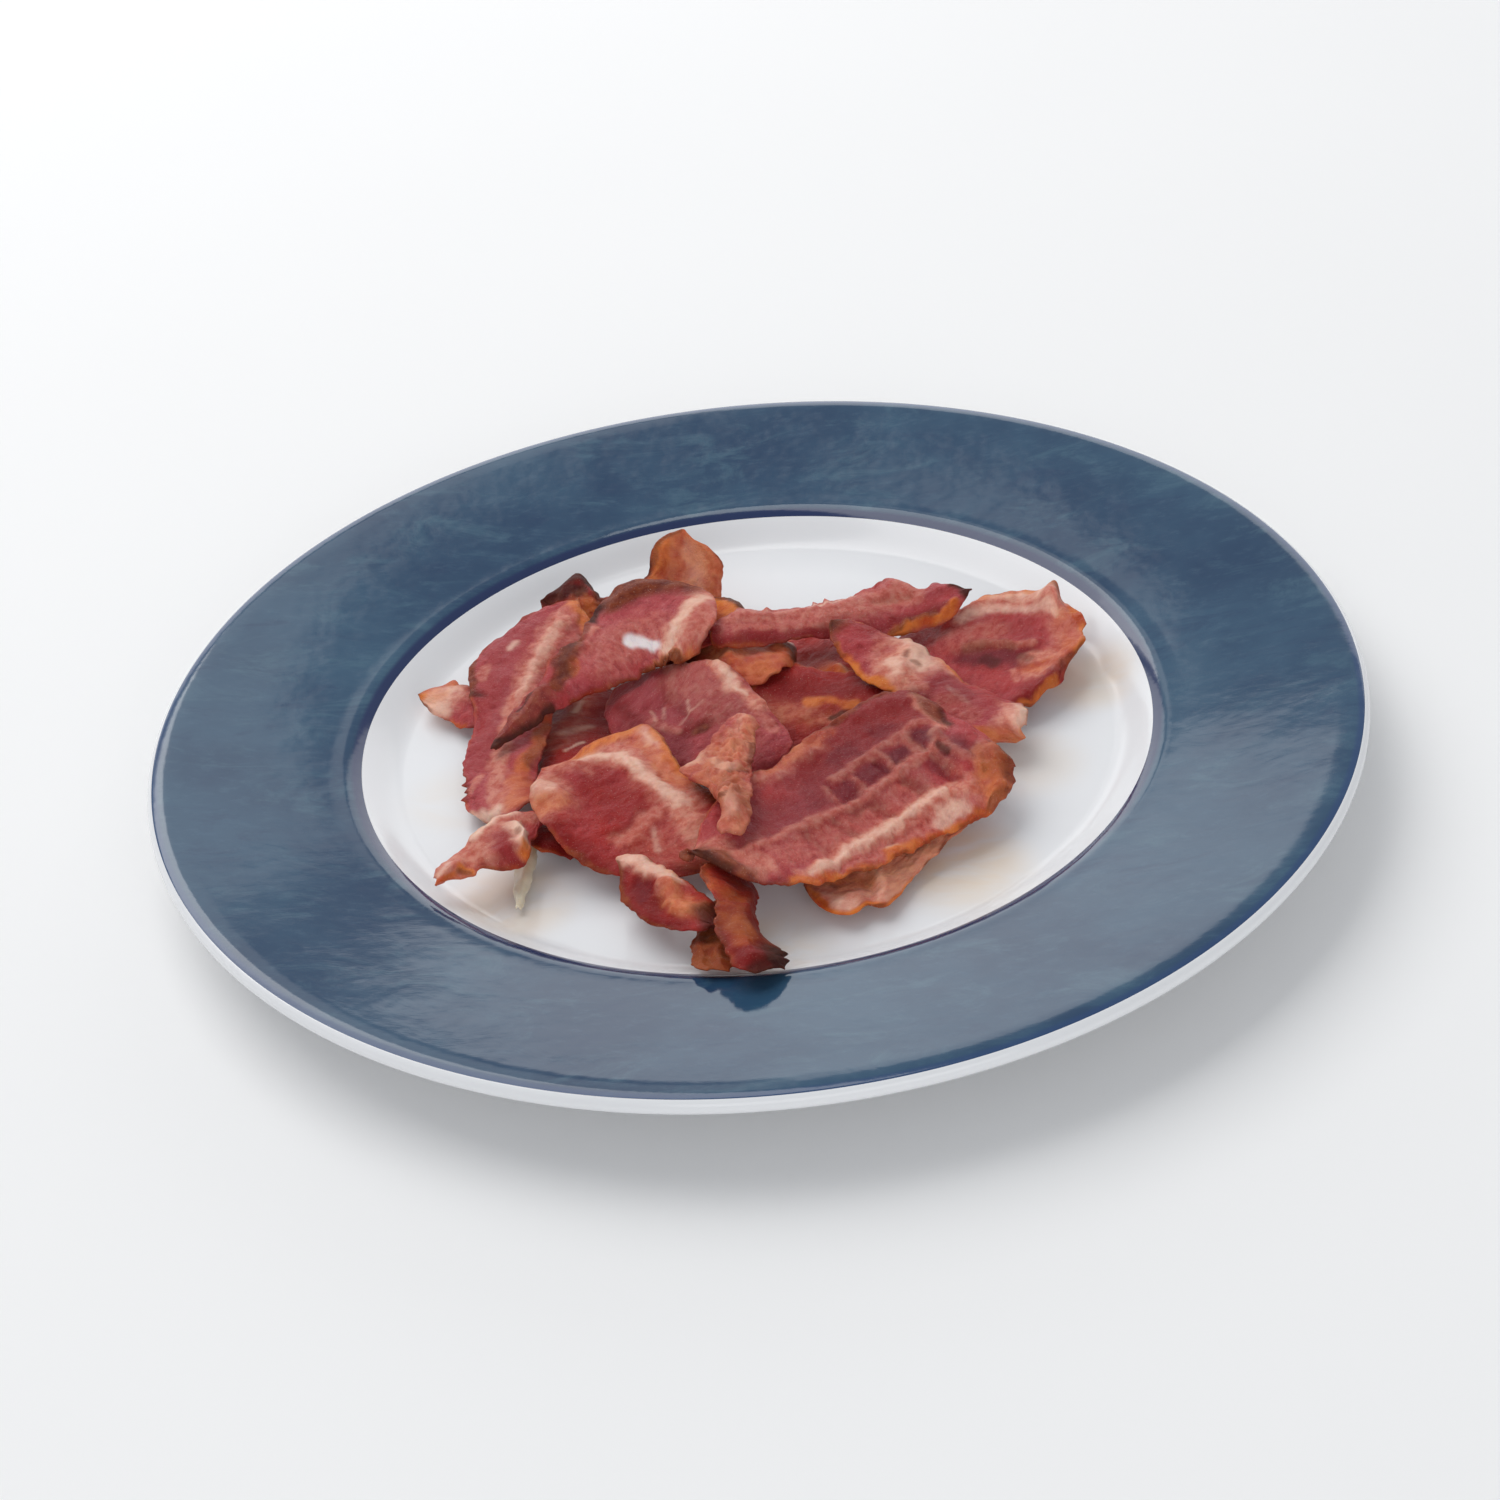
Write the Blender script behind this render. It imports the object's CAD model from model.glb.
"""The looks of the plate of fried bacon: a fine mesh and a material for the plate and for every strip.

Each strip is rebuilt as a thin closed sheet. Its plan comes from the same few sizes as in part.py, and
its heights are read from the solid that it replaces. What shows on a strip, such as a fat band, a fried
rim or a charred tip, is a list of strokes in the strip's own coordinates, u along it and v across it.
"""
import math

import bpy
import numpy as np
from mathutils import Matrix, Vector


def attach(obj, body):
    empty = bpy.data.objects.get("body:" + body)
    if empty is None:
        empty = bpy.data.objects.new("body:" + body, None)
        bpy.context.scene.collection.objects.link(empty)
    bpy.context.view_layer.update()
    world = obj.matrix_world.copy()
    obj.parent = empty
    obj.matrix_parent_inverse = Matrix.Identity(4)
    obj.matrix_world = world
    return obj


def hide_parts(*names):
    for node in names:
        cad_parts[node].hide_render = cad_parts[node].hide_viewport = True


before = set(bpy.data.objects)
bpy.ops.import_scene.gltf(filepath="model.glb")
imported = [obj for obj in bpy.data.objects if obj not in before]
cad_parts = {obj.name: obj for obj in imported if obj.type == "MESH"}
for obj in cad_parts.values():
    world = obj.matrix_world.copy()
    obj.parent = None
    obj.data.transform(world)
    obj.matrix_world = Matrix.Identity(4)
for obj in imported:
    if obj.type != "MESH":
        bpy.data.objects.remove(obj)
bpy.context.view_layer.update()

MM = 0.001

# ---- how the solids were laid out, mm
STRIP_THICKNESS = 2.2
ROW_SPACING = 5.2
MIN_ROWS = 6
MAX_ROWS = 20
END_ROUNDING = 0.8
LEAST_ADVANCE = 0.2
COLUMNS = np.array([0.0, 0.16, 0.38, 0.62, 0.84, 1.0])

# ---- fine sheet, mm
MESH_STEP = 0.5             # between mesh points in the middle of a strip
LEAST_POINTS = 6            # fewest mesh points there
EDGE_STEPS = (0.0, 0.12, 0.3, 0.6)   # distances of the first mesh points from an edge
HALF_THICKNESS = 0.85
EDGE_RADIUS = 0.7           # reach of the rounding of an edge
EDGE_TAPER = 4.0            # a strip thins over this distance towards its edge
EDGE_THINNESS = 0.4         # share of its thickness that it keeps there
END_BULGE = 0.06            # how far an end rounds out, as a share of its width
STROKE_SAMPLES = 28
EDGE_REACH = 4.5            # how far in from an edge its frill reaches
END_REACH = (8.0, 0.6)      # how far in an end's outline pulls the sheet: at least mm, share of width
SHIFT_FADE = 1.6            # power of the fade of an outline's shifts into the sheet
FRILL_RISE = 0.33           # how far the edges stand up on average for a frill of 1
PLATE_CLEARANCE = 0.25
LEAST_THICKNESS = 0.25      # above the middle surface
SAME_POINT = 0.02           # points this close in plan belong to one grid point of the solid
TEXTURE_UNIT = 10.0         # mm of strip to one unit of the texture map

# ---- plate, mm
PLATE_RADIUS = 151.5
RIM_CREST_RADIUS = 147.0
RIM_CREST_HEIGHT = 21.4
SHOULDER_RADIUS = 104.5
SHOULDER_HEIGHT = 14.2
FLOOR_RADIUS = 89.5
FLOOR_HEIGHT = 7.0
WALL_THICKNESS = 4.4
FOOT_RADIUS = 70.0
FOOT_WIDTH = 4.0
BASE_RECESS = 2.0
BLUE_INNER = 99.5           # the blue glaze covers the rim between these two circles
BLUE_OUTER = 150.2
PLATE_SEGMENTS = 360
FLOOR_POINTS = 8            # points of the half section on each stretch of the plate
WALL_POINTS = 9
SHOULDER_POINTS = 6
RIM_POINTS = 14
EDGE_POINTS = 13
UNDER_POINTS = 24
EDGE_ARC = 80.0             # the rim's edge is an arc from this angle to its negative
SHARP_ANGLE = 60.0

# ---- view
VIEW_DISTANCE = 0.7         # metres from the middle of the rim's circle
VIEW_ELEVATION = 33.92
VIEW_ROLL = -6.27
VIEW_LENS = 67.06
VIEW_AIM = (-0.00186, -0.02524, 0.0208)

# ---- studio
FLOOR_WIDTH = 12.0          # metres
PAPER_DULL = (0.89, 0.89, 0.89)
PAPER_BRIGHT = (0.92, 0.92, 0.92)
SKY_COLOUR = (0.93, 0.96, 1.0, 1.0)
SKY_STRENGTH = 0.45

# ---- the strips, lowest first. The sizes are those in part.py, in mm and degrees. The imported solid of
# grill_marked was built from earlier widths, so there heights come from its nearest points.
# start: the first end of the centre line; heading: from +X, anticlockwise; turn: over equal stretches
# of the length; left, right: how far the edges stand from the centre line, evenly spaced along it;
# height: of the underside before it is lifted, likewise; ends: how far each end rounds off;
# tone: 0 mauve pink to 1 red; grain: degrees between the strip and its fibres; rim: strength of the
# thin fried line round its outline; frill: how far its edges wave, mm; rough: how ragged its outline
# is, mm; crumb: how knobbly its top is.
# bumps: for each edge, (place along it in percent, half width in mm, how far out in mm).
# marks: for each kind, strokes of (half width in mm, strength in percent, points (u, v) in percent...),
# except that the second number of a lift is its height in mm. A lift is relief alone, a ridge is a
# raised line of fat and a dent a dark groove.
STRIPS = {
    "right_end": dict(
        start=(37, 25), heading=-10, turn=(-6, -6), length=50,
        left=(10, 13, 22, 21, 20), right=(15, 18, 22, 26, 20), height=(9, 12, 14), ends=(2, 15),
        tone=0.55, grain=75, rim=0.6, frill=0.8, rough=0.4,
        bumps=dict(
            left=((58, 6, -1.5), (76.5, 2, 6), (72, 3.5, 2)),
            right=((92, 4, -1.5),),
            end=((12, 5, -2.5), (45, 6, 1), (95, 6, -4))),
        marks=dict(
            lift=((3, 1.2, (30, 10), (60, 8), (80, 10)), (4, -1.4, (45, 60), (70, 56)),
                  (1.6, 0.9, (42, 50), (58, 49), (74, 45)), (2.5, 1.3, (80, 95), (92, 85), (98, 50))),
            fat=((6, 85, (34, 2), (50, 4), (68, 4), (82, 8)), (5.5, 50, (88, 15), (93, 35)),
                 (5, 25, (35, 40), (50, 42)), (1.1, 50, (42, 51), (58, 50), (74, 46)),
                 (2.8, 85, (76, 54), (84, 54), (90, 60)), (2.8, 80, (80, 74), (87, 70)),
                 (1.1, 50, (68, 68), (73, 78))),
            pale=((2.6, 55, (50, 5), (62, 6), (72, 6)), (1.8, 50, (36, 20), (50, 18), (68, 19), (82, 17))),
            amber=((3.4, 60, (36, 0), (46, 0), (56, 0)), (2.2, 70, (66, 0), (75, 0)),
                   (1.2, 90, (74, 0), (78, 0)), (4.5, 35, (92, 12), (96, 35), (97, 60)),
                   (1.6, 85, (90, 0), (100, 20), (100, 60)), (3, 45, (78, 66), (88, 64)),
                   (1.2, 70, (78, 100), (86, 100), (96, 92))),
            brown=((1, 60, (77, 0), (79, 2)), (2, 40, (42, 50), (52, 52), (62, 50)),
                   (1, 70, (96, 76), (100, 66))),
            char=((1.6, 50, (50, 62), (57, 64)), (1.2, 40, (70, 55), (74, 56))),
            deep=((6, 30, (50, 34), (65, 36)), (2.2, 40, (60, 34), (63, 38)),
                  (3, 70, (78, 98), (86, 92), (94, 80))),
            mauve=((3.8, 85, (42, 60), (55, 60), (66, 56), (74, 54)),))),
    "left_end": dict(
        start=(-84, 27), heading=-28, turn=(0,), length=22,
        left=(5, 9, 10), right=(5, 7, 8), height=(10, 10, 8), ends=(8, 1),
        tone=0.25, grain=30, rim=0.7, frill=0.7, rough=0.5,
        bumps=dict(
            left=((30, 1.5, -1.2), (10, 3, 3.8), (45, 2, -1.2)),
            right=((62, 1.6, 1),),
            start=((15, 1.6, 1.6), (85, 1.8, 1.4), (60, 2.5, 1))),
        marks=dict(
            fat=((7, 85, (0, 50), (20, 40)),),
            pale=((5, 50, (0, 50), (20, 40)), (2.6, 75, (16, 80), (34, 86))),
            amber=((2.6, 90, (0, 0), (0, 90)), (2, 90, (0, 0), (34, 0)), (3, 35, (10, 40), (16, 60)),
                   (0.8, 70, (50, 100), (70, 100))),
            brown=((0.9, 60, (0, 5), (0, 50)), (1.6, 50, (40, 10), (52, 10))),
            deep=((2.4, 90, (52, 12), (66, 16)),))),
    "fat_sliver": dict(
        start=(-56.5, -41), heading=-99, turn=(0,), length=22,
        left=(2.5, 2, 2), right=(2.5, 2, 2), height=(8, 8, 8), ends=(1, 2),
        tone=0, grain=0, rim=0, frill=0.3, rough=0.5,
        bumps=dict(
            left=((75, 3, -0.8),),
            right=((35, 3, 1), (80, 2.5, -0.6))),
        marks={}),
    "under_back": dict(
        start=(6, 25), heading=-20, turn=(0,), length=33,
        left=(11, 13, 11), right=(11, 13, 11), height=(8, 8.5), ends=(1, 1),
        tone=0.9, grain=60, rim=0.5, frill=0.5, rough=0.5,
        bumps=dict(
            left=((12, 9, 5),),
            start=((30, 10, 8), (75, 8, 7))),
        marks=dict(
            lift=((2, 1.2, (6, 76), (20, 78), (40, 78)), (2.2, 1.6, (55, 56), (70, 74), (90, 88))),
            fat=((4, 20, (10, 50), (35, 52)),),
            pale=((1.9, 80, (6, 76), (20, 78), (40, 78)),
                  (0.6, 80, (56, 54), (66, 66), (80, 82), (90, 90))),
            amber=((1, 80, (5, 68), (20, 70), (42, 70)), (4.2, 95, (52, 66), (62, 76), (72, 84))),
            deep=((2, 40, (25, 30), (45, 35)), (3, 85, (10, 95), (50, 95), (90, 98))))),
    "middle_low": dict(
        start=(1, 3), heading=-10, turn=(-6,), length=43,
        left=(11, 14, 11), right=(11, 14, 11), height=(8, 8.5, 8), ends=(1, 1),
        tone=0.9, grain=15, rim=0.6, frill=0.5, rough=0.5,
        bumps=dict(
            left=((8, 9, 6),),
            start=((10, 7, 4),)),
        marks=dict(
            fat=((3.5, 35, (10, 55), (30, 52)), (1.6, 40, (40, 60), (50, 62))),
            amber=((4, 15, (5, 55), (30, 60), (50, 50)), (1.6, 70, (30, 42), (60, 46))),
            char=((0.9, 75, (46, 60), (54, 55)),),
            deep=((4.5, 75, (10, 25), (40, 30), (80, 28)), (12, 45, (20, 45), (80, 50)),
                  (4, 30, (60, 65), (85, 60))))),
    "front_edge": dict(
        start=(8, -65), heading=-22, turn=(50, 20), length=46,
        left=(10, 16, 18, 16, 12), right=(6, 15, 10, 4, 2), height=(8.5, 9, 9.5), ends=(4, 2),
        tone=0.7, grain=30, rim=0.8, frill=0.5, rough=0.4,
        bumps=dict(
            right=((27, 1.6, -3.5), (42, 5, -3), (55, 6, -3.5), (78, 4, -1.6))),
        marks=dict(
            lift=((2, 1.2, (40, 50), (32, 95)), (2, 0.8, (16, 98), (20, 80)),
                  (1.4, -1, (27, 98), (30, 60))),
            fat=((14, 90, (35, 60), (60, 70), (90, 60)), (5, 95, (12, 82), (20, 86)),
                 (2.6, 95, (40, 55), (34, 72), (31, 90))),
            pale=((9, 30, (35, 80), (70, 75)), (4, 40, (45, 80), (60, 80), (75, 75)),
                  (2, 50, (16, 86), (22, 88)), (1.2, 60, (38, 60), (32, 86))),
            amber=((14, 42, (40, 55), (60, 65), (90, 60)), (3, 60, (0, 55), (20, 62), (30, 66)),
                   (1.5, 95, (3, 100), (20, 100), (27, 94), (34, 100), (50, 100))),
            brown=((0.6, 60, (14, 66), (16, 70)),),
            deep=((2.6, 60, (2, 80), (6, 98)), (2.4, 35, (45, 65), (60, 70), (80, 75))))),
    "front_scrap": dict(
        start=(-13, -72), heading=-92, turn=(0,), length=31,
        left=(4, 3.5, 3), right=(3, 6, 5), height=(9, 9.5, 11.5), ends=(2, 2),
        tone=0.9, grain=0, rim=0.4, frill=0.6, rough=0.6,
        bumps=dict(
            left=((90, 4, 1),),
            right=((85, 3, 0.6),),
            end=((45, 1.5, -0.8),)),
        marks=dict(
            lift=((0.9, 0.8, (45, 30), (95, 30)), (0.8, -0.5, (40, 62), (100, 55)),
                  (0.7, 0.5, (40, 80), (100, 75))),
            fat=((0.9, 30, (45, 35), (75, 35)),),
            amber=((9, 75, (30, 50), (100, 50)),),
            brown=((9, 75, (30, 50), (100, 50)), (1, 80, (45, 100), (80, 100))),
            char=((2.4, 75, (12, 60), (30, 55)),),
            mauve=((1.8, 70, (50, 95), (70, 88)),))),
    "left_inner": dict(
        start=(-40, 26), heading=-104, turn=(6, 6), length=74,
        left=(8, 8, 7, 7), right=(8, 8, 7, 7), height=(8, 8.5, 9.5), ends=(1, 7),
        tone=1, grain=80, rim=0.6, frill=0.4, rough=0.4,
        bumps=dict(
            left=((20, 12, 3),),
            right=((30, 14, 2.5), (95, 4, 0.8))),
        marks=dict(
            lift=((3, 0.7, (90, 60), (94, 50)),),
            fat=((4, 30, (10, 60), (36, 80)),),
            pale=((1.2, 35, (25, 40), (30, 75)), (0.6, 70, (36, 40), (41, 62)),
                  (0.8, 60, (12, 60), (18, 68))),
            brown=((1, 50, (5, 100), (50, 100)),),
            char=((3, 45, (86, 60), (92, 50)),),
            deep=((3, 50, (30, 20), (45, 30)), (4.5, 70, (0, 20), (20, 20)), (1.2, 50, (20, 75), (22, 45)),
                  (10, 100, (86, 50), (100, 50))))),
    "curl_tip": dict(
        start=(-20, 42), heading=72, turn=(0,), length=32,
        left=(9, 10, 11, 10, 9), right=(10, 10, 11, 10.5, 9), height=(8, 11, 15, 20.5, 27), ends=(1, 9),
        tone=0.95, grain=0, rim=0.7, frill=0.4, rough=0.3,
        bumps=dict(
            left=((93, 4, 3), (64, 1, 1)),
            right=((62, 4, -0.6), (98, 5, -1)),
            end=((15, 4, 1.5), (95, 4, -2.5))),
        marks=dict(
            lift=((1.6, 0.8, (50, 98), (80, 98), (98, 80), (98, 30), (80, 3)),
                  (3.5, -1, (60, 50), (85, 50))),
            fat=((12, 60, (45, 50), (90, 50)), (0.8, 70, (42, 97), (60, 96))),
            pale=((3, 60, (58, 66), (70, 66)), (1.6, 50, (78, 50), (86, 55))),
            amber=((12, 50, (45, 50), (90, 50)), (2.4, 80, (66, 20), (78, 16), (88, 20))),
            brown=((1, 60, (60, 3), (74, 4), (84, 6)), (0.8, 80, (90, 0), (100, 20))),
            char=((0.9, 70, (60, 0), (76, 2)),),
            deep=((2.4, 50, (84, 80), (95, 60), (100, 30)),))),
    "back_glossy": dict(
        start=(-15, 33), heading=-35, turn=(-10,), length=30,
        left=(5, 9, 12, 12), right=(5, 9, 12, 12), height=(8.5, 11, 9.5), ends=(2, 2),
        tone=0.95, grain=0, rim=0.6, frill=0.8, rough=0.4,
        bumps=dict(
            right=((8, 9, 9),),
            start=((75, 9, 14),)),
        marks=dict(
            lift=((2.8, 2.2, (32, 36), (44, 42)), (2.4, 1.8, (55, 60), (62, 66)),
                  (2, 1.2, (78, 20), (90, 20)), (1.6, -0.8, (60, 10), (60, 80))),
            fat=((8, 35, (40, 30), (90, 50)), (2.2, 60, (36, 40), (44, 42))),
            pale=((1, 80, (36, 30), (42, 34)), (1, 80, (70, 6), (80, 7))),
            amber=((9, 45, (40, 30), (90, 50)), (3, 50, (80, 50), (95, 60)),
                   (2.2, 60, (55, 60), (62, 66))),
            brown=((2, 50, (76, 20), (88, 20)),),
            char=((2, 60, (10, 85), (20, 80)), (1.2, 70, (84, 10), (92, 16))),
            deep=((3, 50, (30, 50), (45, 60)), (7, 95, (0, 90), (20, 70))))),
    "back_dark": dict(
        start=(-53, 54), heading=-22, turn=(0, 20), length=57,
        left=(9, 13, 6, 7, 11, 5), right=(6, 12, 16, 16, 12, 6), height=(16.5, 13.5, 13, 15.5),
        ends=(5, 4),
        tone=0.9, grain=20, rim=0.9, frill=1, rough=0.8,
        bumps=dict(
            left=((7, 3.5, 4.5), (24, 4, -3.6), (92, 4, 4.5), (1, 1.5, -1)),
            start=((40, 2, 1),)),
        marks=dict(
            lift=((2, 1, (5, 10), (20, 10)),),
            amber=((3, 50, (8, 50), (20, 50)), (3, 50, (16, 35), (24, 30)), (6.5, 95, (84, 20), (96, 30))),
            brown=((2.2, 70, (10, 0), (16, 5)), (2, 80, (22, 10), (30, 20)),
                   (1.8, 80, (86, 0), (94, 0), (100, 10))),
            char=((3.2, 85, (0, 10), (6, 0), (12, 0), (20, 2)), (2.4, 80, (6, 30), (14, 25)),
                  (2.6, 90, (30, 20), (34, 50)), (1, 70, (90, 0), (100, 20), (100, 60))),
            deep=((9, 60, (5, 30), (20, 30)), (5, 80, (86, 70), (98, 70))))),
    "left_twist": dict(
        start=(-51, -36), heading=-140, turn=(0,), length=36,
        left=(4, 7, 9, 5, 4), right=(5, 7, 6, 4, 4), height=(8.5, 12, 12.5), ends=(2, 2),
        tone=0.65, grain=15, rim=0.4, frill=0.6, rough=0.4,
        bumps=dict(
            left=((12, 5.5, -4.5), (30, 1.5, -1.5), (60, 5, 2.6), (72, 1.5, -2.4), (92, 2.5, -1.6)),
            right=((90, 3, 0.8),),
            end=((85, 2, -1.6), (30, 1.5, 0.8))),
        marks=dict(
            lift=((1.6, 1.4, (30, 62), (35, 35), (42, 10)), (1.4, 1, (20, 95), (60, 88)),
                  (2.5, 1.2, (50, 25), (62, 25)), (1.5, 0.9, (80, 50), (90, 50)),
                  (1.4, -0.8, (70, 80), (74, 10))),
            fat=((3, 60, (0, 60), (20, 75), (40, 85), (60, 85)), (2.2, 80, (33, 50), (42, 10)),
                 (6, 75, (72, 60), (100, 50))),
            pale=((1.3, 85, (20, 95), (40, 93), (60, 88)), (2.2, 90, (32, 55), (35, 35), (38, 20)),
                  (1.2, 50, (86, 70), (96, 60))),
            amber=((1.6, 95, (38, 12), (44, 3)), (1.2, 90, (78, 10), (82, 30)),
                   (1, 90, (88, 20), (94, 25), (100, 30))),
            brown=((0.7, 60, (36, 44), (38, 38)), (0.7, 70, (80, 10), (84, 25))),
            deep=((4, 45, (45, 35), (62, 30)), (1, 70, (50, 0), (64, 0)), (2.2, 35, (78, 60), (84, 55))))),
    "back_long": dict(
        start=(-9, 27), heading=-8, turn=(20, 0), length=68,
        left=(6, 8, 8, 10.5, 6), right=(4, 4, 5, 7.5, 6), height=(12, 13.5, 15.5, 16.5, 18), ends=(2, 4),
        tone=0.15, grain=5, rim=0.35, frill=0.6, rough=0.5,
        bumps=dict(
            left=((75, 3, 2), (86, 3.4, -4.4), (100, 3, -2.2), (43, 0.6, 1.6), (48, 0.6, 1.8),
                  (23, 0.9, 1.2), (10, 3, 1)),
            end=((60, 3, 2),)),
        marks=dict(
            lift=((1.7, 1.5, (70, 100), (77, 86), (93, 90)), (1.2, -0.8, (66, 40), (80, 38)),
                  (2.4, 1, (70, 15), (78, 10)), (2, 0.8, (10, 30), (40, 25))),
            fat=((4.5, 50, (10, 30), (30, 30), (60, 35), (80, 30)),
                 (1.2, 40, (10, 62), (30, 68), (44, 70))),
            pale=((0.5, 50, (40, 15), (60, 12)),),
            amber=((1.7, 95, (68, 100), (76, 88), (86, 90), (93, 92)),),
            brown=((0.9, 70, (68, 94), (76, 80), (86, 82)), (1, 60, (86, 0), (92, 0))),
            char=((1.6, 90, (97, 10), (100, 40), (99, 80)),),
            deep=((1.1, 80, (66, 38), (74, 40), (80, 36)), (2, 35, (84, 50), (96, 45)),
                  (2.6, 80, (0, 100), (25, 98), (50, 98)), (4, 35, (50, 80), (65, 75)),
                  (1.6, 80, (70, 74), (80, 76), (90, 80))))),
    "diagonal": dict(
        start=(23, 23), heading=-44, turn=(0, -16), length=61,
        left=(3, 7, 6, 7, 8), right=(4, 10, 11, 10, 9), height=(17, 12.5, 11, 11), ends=(3, 5),
        tone=0.25, grain=50, rim=0.5, frill=0.6, rough=0.5,
        bumps=dict(
            left=((28, 1, 1.4), (34, 6, 3), (48, 5, 2.4), (88, 1, 1)),
            end=((75, 4, 4), (10, 2, -1))),
        marks=dict(
            dent=((1, 50, (58, 10), (56, 50), (60, 80)),),
            lift=((3, 1.2, (32, 10), (38, 40), (42, 70)), (2, 0.8, (93, 20), (98, 60))),
            fat=((6.5, 95, (32, 0), (37, 30), (40, 60), (42, 80)), (2.4, 80, (44, 0), (56, 0)),
                 (1.2, 70, (32, 90), (42, 90)), (3, 20, (66, 66), (80, 70)),
                 (5, 95, (94, 10), (97, 40), (100, 80))),
            pale=((4, 70, (30, 0), (38, 10), (42, 25)), (2, 60, (36, 50), (40, 70)),
                  (1, 12, (62, 45), (74, 50)), (2.4, 70, (92, 5), (97, 30))),
            amber=((1, 80, (52, 0), (60, 0)), (1.5, 95, (10, 100), (28, 98), (46, 98)),
                   (2.2, 60, (90, 80), (98, 72)), (1.2, 60, (100, 40), (100, 90))),
            brown=((3, 80, (0, 0), (2, 95)), (1.2, 60, (2, 100), (14, 100)), (0.8, 60, (36, 30), (37, 34)),
                   (0.7, 60, (41, 33), (43, 30))),
            char=((1.8, 60, (0, 20), (1, 95)),),
            deep=((3, 35, (10, 10), (20, 20)), (1, 50, (34, 40), (40, 42)), (5, 25, (55, 60), (80, 40)),
                  (2, 60, (72, 100), (80, 100))),
            mauve=((1.6, 60, (50, 72), (60, 86)), (4, 30, (55, 40), (70, 45))))),
    "centre": dict(
        start=(-37, 9), heading=-30, turn=(0,), length=52,
        left=(3, 11, 18, 12, 4), right=(4, 12, 16, 15, 8), height=(11.5, 12.5, 10.5), ends=(3, 5),
        tone=0.15, grain=65, rim=0.3, frill=0.6, rough=0.4,
        bumps=dict(
            left=((20, 12, 9), (27, 2, -0.8), (36, 3, 1))),
        marks=dict(
            dent=((1.6, 50, (20, 15), (34, 36), (50, 60)),),
            lift=((2, -0.9, (24, 0), (32, 30)), (1.6, -1, (50, 66), (58, 54)),
                  (4, 0.9, (40, 20), (50, 30))),
            fat=((2.8, 85, (40, 0), (48, 7), (57, 16), (66, 14), (75, 10)),
                 (1.4, 40, (66, 20), (80, 18), (90, 20)), (5, 25, (30, 15), (40, 20), (48, 28)),
                 (1.5, 30, (30, 62), (44, 66)), (6, 20, (52, 35), (75, 40))),
            pale=((1.5, 60, (42, 0), (50, 8), (57, 17), (64, 15)), (0.4, 35, (40, 36), (45, 47)),
                  (0.4, 30, (45, 47), (44, 60)), (0.4, 30, (45, 47), (50, 38)),
                  (0.4, 28, (25, 48), (31, 60)), (0.4, 25, (30, 42), (34, 56))),
            brown=((1.1, 80, (53, 62), (57, 56)),),
            deep=((2, 70, (50, 64), (58, 54)), (2.2, 70, (6, 55), (16, 68), (26, 74))),
            mauve=((5, 55, (36, 76), (50, 80)), (9, 36, (20, 30), (60, 35))))),
    "left_long": dict(
        start=(-45, 50), heading=-114, turn=(14, 6), length=85,
        left=(7, 9, 8, 6.5, 4), right=(4, 20, 14, 14.5, 7), height=(18.5, 15, 11.5, 10), ends=(2, 3),
        tone=0.2, grain=62, rim=0.4, frill=0.8, rough=0.45,
        bumps=dict(
            left=((93, 6, 3.5),),
            right=((80, 0.6, 1.6), (83.5, 0.5, 1), (87, 0.6, 1.2), (80, 6, -2.2), (42, 1.6, 0.8)),
            start=((30, 2, 1.2), (15, 3, 1.5)),
            end=((15, 1.2, 1.5), (50, 1.5, 1.2), (85, 1.8, 1.2))),
        marks=dict(
            lift=((1.8, 0.6, (10, 38), (30, 34), (50, 48), (80, 50)), (2, -0.6, (10, 12), (40, 20))),
            fat=((3.6, 75, (10, 38), (20, 31), (28, 34), (36, 39), (50, 48)),
                 (2.4, 70, (50, 48), (66, 51), (80, 50), (96, 50)), (5, 30, (10, 15), (30, 16), (45, 30)),
                 (3, 40, (0, 40), (8, 30)), (1.8, 40, (30, 84), (34, 88)), (2.4, 60, (86, 30), (95, 35)),
                 (1.6, 60, (80, 75), (84, 90))),
            pale=((1.6, 40, (12, 37), (20, 31), (30, 35), (42, 43)), (1.4, 60, (22, 62), (23, 63)),
                  (1.5, 85, (97, 55), (98, 80), (95, 97))),
            amber=((3.4, 80, (0, 30), (3, 10), (8, 5)), (1.6, 90, (0, 0), (10, 0)),
                   (1.8, 60, (56, 5), (70, 12), (80, 20)), (2.6, 50, (84, 20), (95, 25))),
            brown=((1, 70, (0, 20), (0, 60)), (1.4, 50, (6, 100), (20, 100)),
                   (1.5, 85, (26, 100), (34, 100), (40, 100)), (2.2, 60, (60, 5), (68, 5), (76, 10))),
            char=((0.8, 50, (40, 100), (42, 90)),),
            deep=((1.5, 95, (40, 97), (42, 86)), (6, 25, (15, 65), (40, 75), (70, 80)),
                  (1, 70, (80, 97), (84, 98), (88, 98))))),
    "front_left": dict(
        start=(-48, -20), heading=-44, turn=(-10,), length=52,
        left=(11, 21, 17, 14, 9, 1), right=(12, 19, 22, 21, 16, 7), height=(16, 15, 13, 11.5),
        ends=(3, 6),
        tone=0.75, grain=70, rim=0.35, frill=0.5, rough=0.35,
        bumps=dict(
            left=((9, 5, 4), (68, 4, 1), (84, 7, 4.5), (98, 6, 5), (2, 2, -2)),
            start=((35, 9, -4),),
            end=((35, 9, 7), (80, 6, 3))),
        marks=dict(
            dent=((1.3, 60, (56, 72), (59, 45)), (1, 50, (36, 42), (30, 56)), (1, 40, (46, 38), (42, 60))),
            lift=((3, 1, (5, 62), (20, 37), (36, 27), (55, 23), (80, 26)), (2.6, -1, (20, 16), (50, 10)),
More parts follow.
